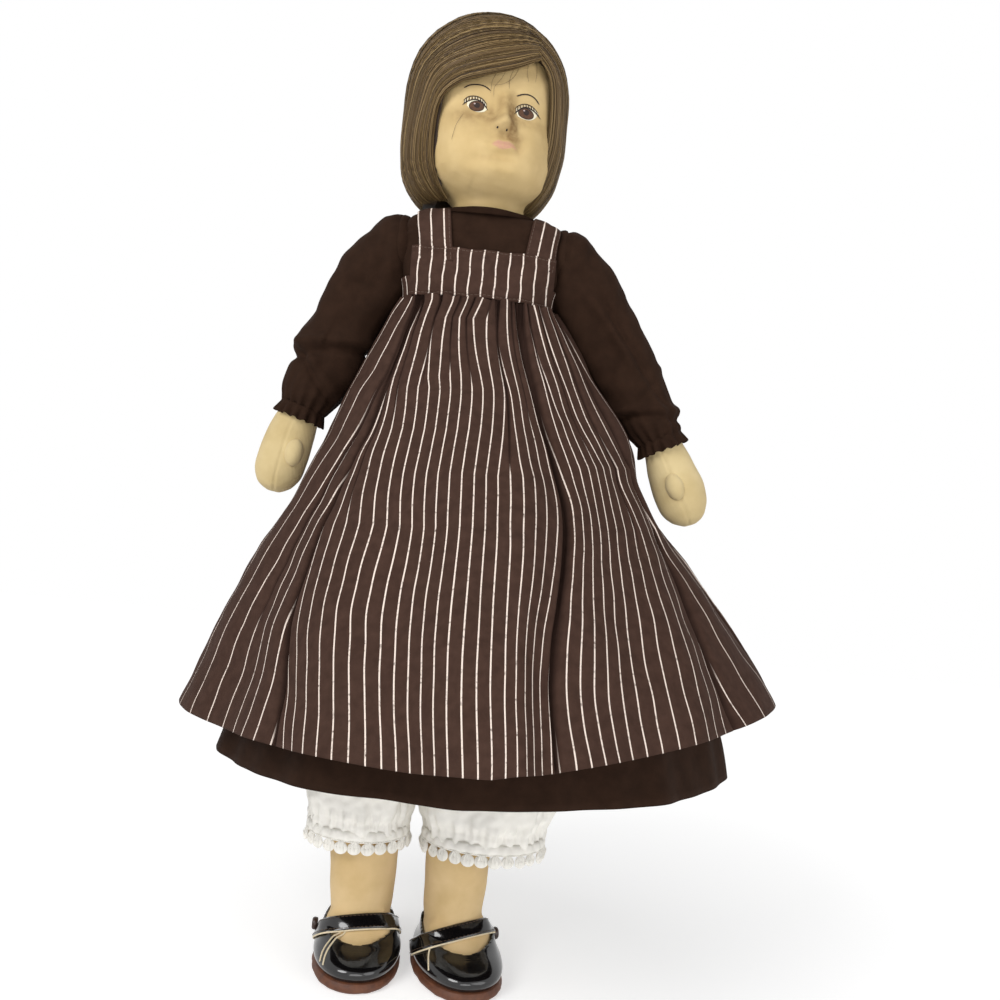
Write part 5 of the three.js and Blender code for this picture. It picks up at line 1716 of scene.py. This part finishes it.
def cut_shell(shell, cutters):
    """A closed shell with other closed shells taken out of it, as points, faces and normals."""
    others = []
    for points, faces in cutters:
        mesh = bpy.data.meshes.new("cutter")
        mesh.from_pydata(np.asarray(points).tolist(), [], faces)
        other = bpy.data.objects.new("cutter", mesh)
        bpy.context.scene.collection.objects.link(other)
        others.append(other)

    def steps(raw):
        for other in others:
            cut = raw.modifiers.new("cut", "BOOLEAN")
            cut.operation = "DIFFERENCE"
            cut.solver = "EXACT"
            cut.object = other
        add_softening(raw, 0.42, 5)

    result = worked([shell], steps)
    for other in others:
        mesh = other.data
        bpy.data.objects.remove(other)
        bpy.data.meshes.remove(mesh)
    return result


def topline_slab():
    """A wide box over the shoe's leaning topline, to cut away what lies in it."""
    wide, long, high = 60, 120, 60
    corners = np.array([
        [x, y, z] for z in (vamp_height, vamp_height + high) for y in (vamp_edge, vamp_edge + long)
        for x in (-wide, wide)
    ], float)
    y, z = rotated(corners[:, 1] - vamp_edge, corners[:, 2] - vamp_height, math.radians(topline_lean))
    corners[:, 1:] = np.stack([y + vamp_edge, z + vamp_height], 1)
    return corners, [(0, 2, 3, 1), (4, 5, 7, 6), (0, 1, 5, 4), (2, 6, 7, 3), (0, 4, 6, 2), (1, 3, 7, 5)]


def upper_shell():
    outer = closed_shell(shoe_grid(upper_rings, ring_heights(upper_rings, 46)))
    inner = shoe_grid(upper_rings, np.linspace(inner_floor, upper_rings[-1][0], 40), grow=-upper_wall)
    inner = np.concatenate([inner, inner[-1:] + np.array([0, 0, 6.0])])
    turns = even_turns(72)
    half = (opening_back - vamp_edge) / 2
    middle = vamp_edge + half - upper_wall
    x, y = opening_half_width * np.cos(turns), middle + half * np.sin(turns)
    post = np.array([np.column_stack([x, y, np.full(72, level)]) for level in (10.0, 40.0)])
    return cut_shell(outer, [closed_shell(inner), closed_shell(post), topline_slab()])


def strapped_tree(side):
    """What the strap lies on, in the ankle's own place: the shoe, the foot and the ankle."""
    shoe = closed_shell(shoe_grid(upper_rings, ring_heights(upper_rings, 30)))
    low_shoe = cut_shell(shoe, [topline_slab()])[:2]
    ankle = limb_grid(leg_rows[side][-4:], 64, 30, 0.3)
    x, y = rotated(ankle[..., 0] - ankle_x[side], ankle[..., 1], -math.radians(foot_turns[side]))
    turned = np.stack([x, y, ankle[..., 2]], -1)
    points, faces, _ = fused([low_shoe, closed_shell(foot_grid()), closed_shell(turned)], 0.6, 8)
    return surface_tree(points, faces)


def strap_grid(side, tree):
    """Rows of points across the strap, from its end on one side over the ankle to the other."""
    up = np.array([0, math.sin(strap_lean), math.cos(strap_lean)])
    ahead = np.array([0, -math.cos(strap_lean), math.sin(strap_lean)])
    tilt = math.radians(strap_tilts[side])
    across = np.array([1.0, 0, 0]) * math.cos(tilt) + up * math.sin(tilt)
    up = up * math.cos(tilt) - np.array([1.0, 0, 0]) * math.sin(tilt)
    rows = []
    for angle in np.radians(np.linspace(-strap_sweep, strap_sweep, 150)):
        way = ahead * math.cos(angle) + across * math.sin(angle)
        row = []
        for share in np.linspace(-0.5, 0.5, 15):
            middle = np.array(strap_middle) + up * (share * strap_width)
            hit = tree.ray_cast(Vector(middle + way * 60), Vector(-way))[0]
            row.append(list(hit + Vector(way) * shoe_strap_lift))
        rows.append(row)
    return smoothed(np.array(rows), 14)


def stitch_row(path, normals, length=1.3, gap=0.7, radius=0.16, lift=0.12):
    """Short sewn stitches along a path."""
    along = lengths_along(path)
    shells = []
    place = gap
    while place + length < along[-1]:
        at = np.linspace(place, place + length, 5)
        line = np.stack([np.interp(at, along, path[:, axis]) for axis in range(3)], 1)
        normal = np.stack([np.interp(at, along, normals[:, axis]) for axis in range(3)], 1)
        arch = lift * np.sin(np.linspace(0.1, math.pi - 0.1, 5)) - 0.02
        shells.append(tube_shell(line + normal * arch[:, None], radius, 6))
        place += length + gap
    return shells


def build_sewn_edges():
    """Stitches along the edges of the pinafore's bib and straps."""
    shells = []
    for path, normals in sewn_edges:
        shells += stitch_row(path, normals, 1.5, 0.6, 0.12, 0.06)
    make_piece("pinafore_stitches", *joined(shells), "brown_thread", "body", slot="pinafore_cloth")


def make_on_foot(name, side, shell, finish, stands_for=(), slot=None):
    """A piece whose shell is worked out in the ankle's own place."""
    make_piece(name, on_foot(shell[0], side), shell[1], finish, f"leg_{side}", stands_for, slot)


def build_shoe(side):
    points, faces, normals = upper_shell()
    points = points + normals * (Ripple(91, 26)(points) * 0.10)[:, None]
    make_on_foot(f"shoe_upper_{side}_patent", side, (points, faces), "patent", [f"shoe_upper_{side}"])
    sole = shoe_grid(sole_rings, ring_heights(sole_rings, 16), around=160)
    sole = sole + outward(sole) * (Ripple(93, 6)(sole) * 0.08)[..., None]
    make_on_foot(f"shoe_sole_{side}_leather", side, closed_shell(sole), "sole", [f"shoe_sole_{side}"])
    insole = shoe_grid(insole_rings, ring_heights(insole_rings, 5))
    make_on_foot(f"insole_{side}_lining", side, closed_shell(insole), "lining", [f"insole_{side}"])
    tree = strapped_tree(side)
    build_shoe_strap(side, tree)
    build_piping(side, tree)


def build_shoe_strap(side, tree):
    """The strap with its stitches, its pale lower edge and its button."""
    grid = strap_grid(side, tree)
    middle = len(grid) // 2
    grid = facing_front(grid, middle, 7)
    normal = outward(grid, closed=False)
    strap = cloth_shell(grid, shoe_strap_thickness, closed=False)
    make_on_foot(f"shoe_strap_{side}_patent", side, strap, "patent", [f"shoe_strap_{side}"])
    stitches = []
    for column in (2, 12):
        stitches += stitch_row(grid[:, column] + normal[:, column] * 0.66, normal[:, column])
    make_on_foot(f"strap_{side}_stitches", side, joined(stitches), "dark_thread", slot="lining")
    edge = grid[:, 0 if grid[middle, 0, 2] < grid[middle, -1, 2] else -1]
    make_on_foot(f"strap_{side}_edging", side, tube_shell(edge, 0.45, 8), "cream_thread", slot="lining")
    button = lathe_shell(shoe_button_profile, side, (0, *button_place))
    make_on_foot(f"shoe_button_{side}_shell", side, button, "button", [f"shoe_button_{side}"])


# Cream piping on the image-left side of each vamp, in the ankle's own place: sideways and forward
pipings = {
    "right": [
        [(-6.5, -19.5), (-12.0, -24.5), (-15.8, -30.5), (-17.2, -37.0)],
        [(-5.6, -21.0), (-11.2, -27.0), (-14.4, -34.0), (-15.4, -41.5)],
    ],
    "left": [
        [(-13.8, -17.5), (-17.2, -23.0), (-18.6, -30.0), (-18.6, -37.0)],
    ],
}


def build_piping(side, tree):
    shells = []
    for path in pipings[side]:
        line = []
        for x, y in smooth_path(path, 40):
            hit = tree.ray_cast(Vector((x, y, 60)), Vector((0, 0, -1)))[0]
            if hit is not None:
                line.append([hit.x, hit.y, hit.z + 0.05])
        shells.append(tube_shell(np.array(line), 0.42, 8))
    make_on_foot(f"shoe_piping_{side}", side, joined(shells), "cream_thread", slot="lining")


# Buttons on the doll's back


def button_shell(radius, thickness):
    """A round button with a rim, facing along +Y from the middle of its inner side."""
    profile = [
        (0, 0.02), (0, radius - 0.4), (0.4, radius), (thickness - 0.4, radius), (thickness, radius - 0.5),
        (thickness - 0.35, radius - 1.2), (thickness - 0.5, radius - 1.8), (thickness - 0.5, 0.02),
    ]
    turns = even_turns(64)
    rings = []
    for along, reach in profile:
        level = np.full(64, float(along))
        rings.append(np.column_stack([reach * np.cos(turns), level, reach * np.sin(turns)]))
    return closed_shell(np.array(rings))


def build_back_buttons():
    for name in ("dress_button_1", "dress_button_2", "pinafore_button"):
        node_points, _ = node_shell(name)
        low_corner, high_corner = node_points.min(0), node_points.max(0)
        middle = (low_corner + high_corner) / 2
        size = high_corner - low_corner
        points, faces = button_shell(max(size[0], size[2]) / 2, size[1])
        points = points + np.array([middle[0], low_corner[1], middle[2]])
        make_piece(f"{name}_shell", points, faces, "button", "body", [name])
        threads = []
        for shift in (-0.9, 0.9):
            place = np.array([middle[0] + shift, high_corner[1] - 0.55, middle[2]])
            threads.append(ball_shell(place, (0.45, 0.12, 0.45), 16, 6))
        make_piece(f"{name}_thread", *joined(threads), "cream_thread", "body", slot="button")


# Soft goods: flat width and length in millimetres, how each is held, and what holds it up

side_sheets = {
    "pinafore_band_{}_cloth": ((76, 11), "stretched", ["torso_cloth"]),
    "pinafore_strap_{}_cloth": ((96, 16), "laid", ["dress_bodice_cloth"]),
    "sleeve_{}_cloth": ((104, 122), "draped", ["arm_{}_cloth"]),
    "cuff_ruffle_{}_cloth": ((96, 10), "gathered", ["sleeve_{}_cloth"]),
    "bloomer_leg_{}_cloth": ((190, 190), "gathered", ["leg_{}_cloth"]),
}
single_sheets = {
    "dress_bodice_cloth": ((250, 88), "stretched", ["torso_cloth"]),
    "bloomers_seat_cloth": ((205, 84), "stretched", ["torso_cloth"]),
    "pinafore_bib_cloth": ((71.3, 23.8), "laid", ["dress_bodice_cloth"]),
    "pinafore_skirt_cloth": ((704, 245), "gathered", ["dress_skirt_cloth"]),
    "dress_skirt_cloth": ((660, 250), "gathered", ["torso_cloth"]),
}


def declare_soft_goods():
    sheets = dict(single_sheets)
    for side in side_signs:
        for name, (flat, held, rests_on) in side_sheets.items():
            sheets[name.format(side)] = (flat, held, [other.format(side) for other in rests_on])


# Camera, light and backdrop


def build_camera():
    """The camera stands where the photograph was taken from, and is rolled as it was."""
    camera = bpy.data.objects.new("camera", bpy.data.cameras.new("camera"))
    camera.data.lens = 36
    camera.data.sensor_width = 36
    camera.data.clip_start = 0.01
    right = Vector((math.cos(camera_roll), 0, math.sin(camera_roll)))
    up = Vector((-math.sin(camera_roll), 0, math.cos(camera_roll)))
    turn = Matrix((right, up, Vector((0, -1, 0)))).transposed()
    place = Vector(to_row((camera_side, -camera_reach, camera_rise)))
    camera.matrix_world = Matrix.Translation(place) @ turn.to_4x4()
    bpy.context.scene.collection.objects.link(camera)
    bpy.context.scene.camera = camera


def add_area_light(name, place, aim, size, power):
    light = bpy.data.objects.new(name, bpy.data.lights.new(name, "AREA"))
    light.data.shape = "DISK"
    light.data.size = size
    light.data.energy = power
    light.location = place
    light.rotation_mode = "QUATERNION"
    light.rotation_quaternion = (Vector(aim) - Vector(place)).to_track_quat("-Z", "Y")
    bpy.context.scene.collection.objects.link(light)


def build_world():
    world = bpy.data.worlds.new("studio")
    bpy.context.scene.world = world
    world.use_nodes = True
    tree = world.node_tree
    light = tree.nodes["Background"]
    light.inputs["Color"].default_value = (1, 1, 1, 1)
    light.inputs["Strength"].default_value = 0.4
    backdrop = tree.nodes.new("ShaderNodeBackground")
    backdrop.inputs["Color"].default_value = (1, 1, 1, 1)
    backdrop.inputs["Strength"].default_value = 1.0
    mix = tree.nodes.new("ShaderNodeMixShader")
    path = tree.nodes.new("ShaderNodeLightPath")
    share = path.outputs["Is Camera Ray"]
    for ray in ("Is Glossy Ray", "Is Transmission Ray"):
        either = tree.nodes.new("ShaderNodeMath")
        either.operation = "MAXIMUM"
        tree.links.new(share, either.inputs[0])
        tree.links.new(path.outputs[ray], either.inputs[1])
        share = either.outputs[0]
    tree.links.new(share, mix.inputs[0])
    tree.links.new(light.outputs[0], mix.inputs[1])
    tree.links.new(backdrop.outputs[0], mix.inputs[2])
    tree.links.new(mix.outputs[0], tree.nodes["World Output"].inputs["Surface"])


def build_floor():
    half = 1.2
    mesh = bpy.data.meshes.new("floor")
    corners = [(-half, -half, 0), (half, -half, 0), (half, half, 0), (-half, half, 0)]
    mesh.from_pydata(corners, [], [(0, 1, 2, 3)])
    nodes = Nodes("floor").set(roughness=1.0, specular=0.0)
    nodes.shader.inputs["Emission Color"].default_value = (1, 1, 1, 1)
    away = nodes.add("ShaderNodeVectorMath", operation="LENGTH")
    nodes.join(nodes.place(), away.inputs[0])
    far = nodes.spread(away.outputs["Value"], 0.12, 0.45)
    nodes.color(nodes.between(far, (0.75, 0.75, 0.75, 1), (0.1, 0.1, 0.1, 1)))
    glow = nodes.math("ADD", nodes.math("MULTIPLY", far, 0.5), 0.5)
    nodes.join(glow, nodes.shader.inputs["Emission Strength"])
    mesh.materials.append(nodes.material)
    floor = bpy.data.objects.new("floor", mesh)
    bpy.context.scene.collection.objects.link(floor)


finish_frame()
build_torso()
build_bloomers_seat()
build_bodice()
build_pinafore_skirt()
build_dress_skirt()
build_bib()
build_bands()
build_straps()
build_sewn_edges()
for side in side_signs:
    build_sleeve(side)
    build_ruffle(side)
    build_hand(side)
    build_leg(side)
    build_bloomer(side)
    build_lace(side)
    build_shoe(side)
build_face(build_head())
build_wig()
build_back_buttons()
build_camera()
add_area_light("key", (-0.7, -0.9, 0.95), (0, 0, 0.25), 0.7, 10.5)
add_area_light("fill", (0.9, -0.8, 0.5), (0, 0, 0.25), 0.9, 3.8)
add_area_light("low", (0.15, -1.0, 0.12), (0, 0, 0.05), 0.6, 2.6)
build_world()
build_floor()
bpy.context.scene.view_settings.view_transform = "Standard"

declare_soft_goods()
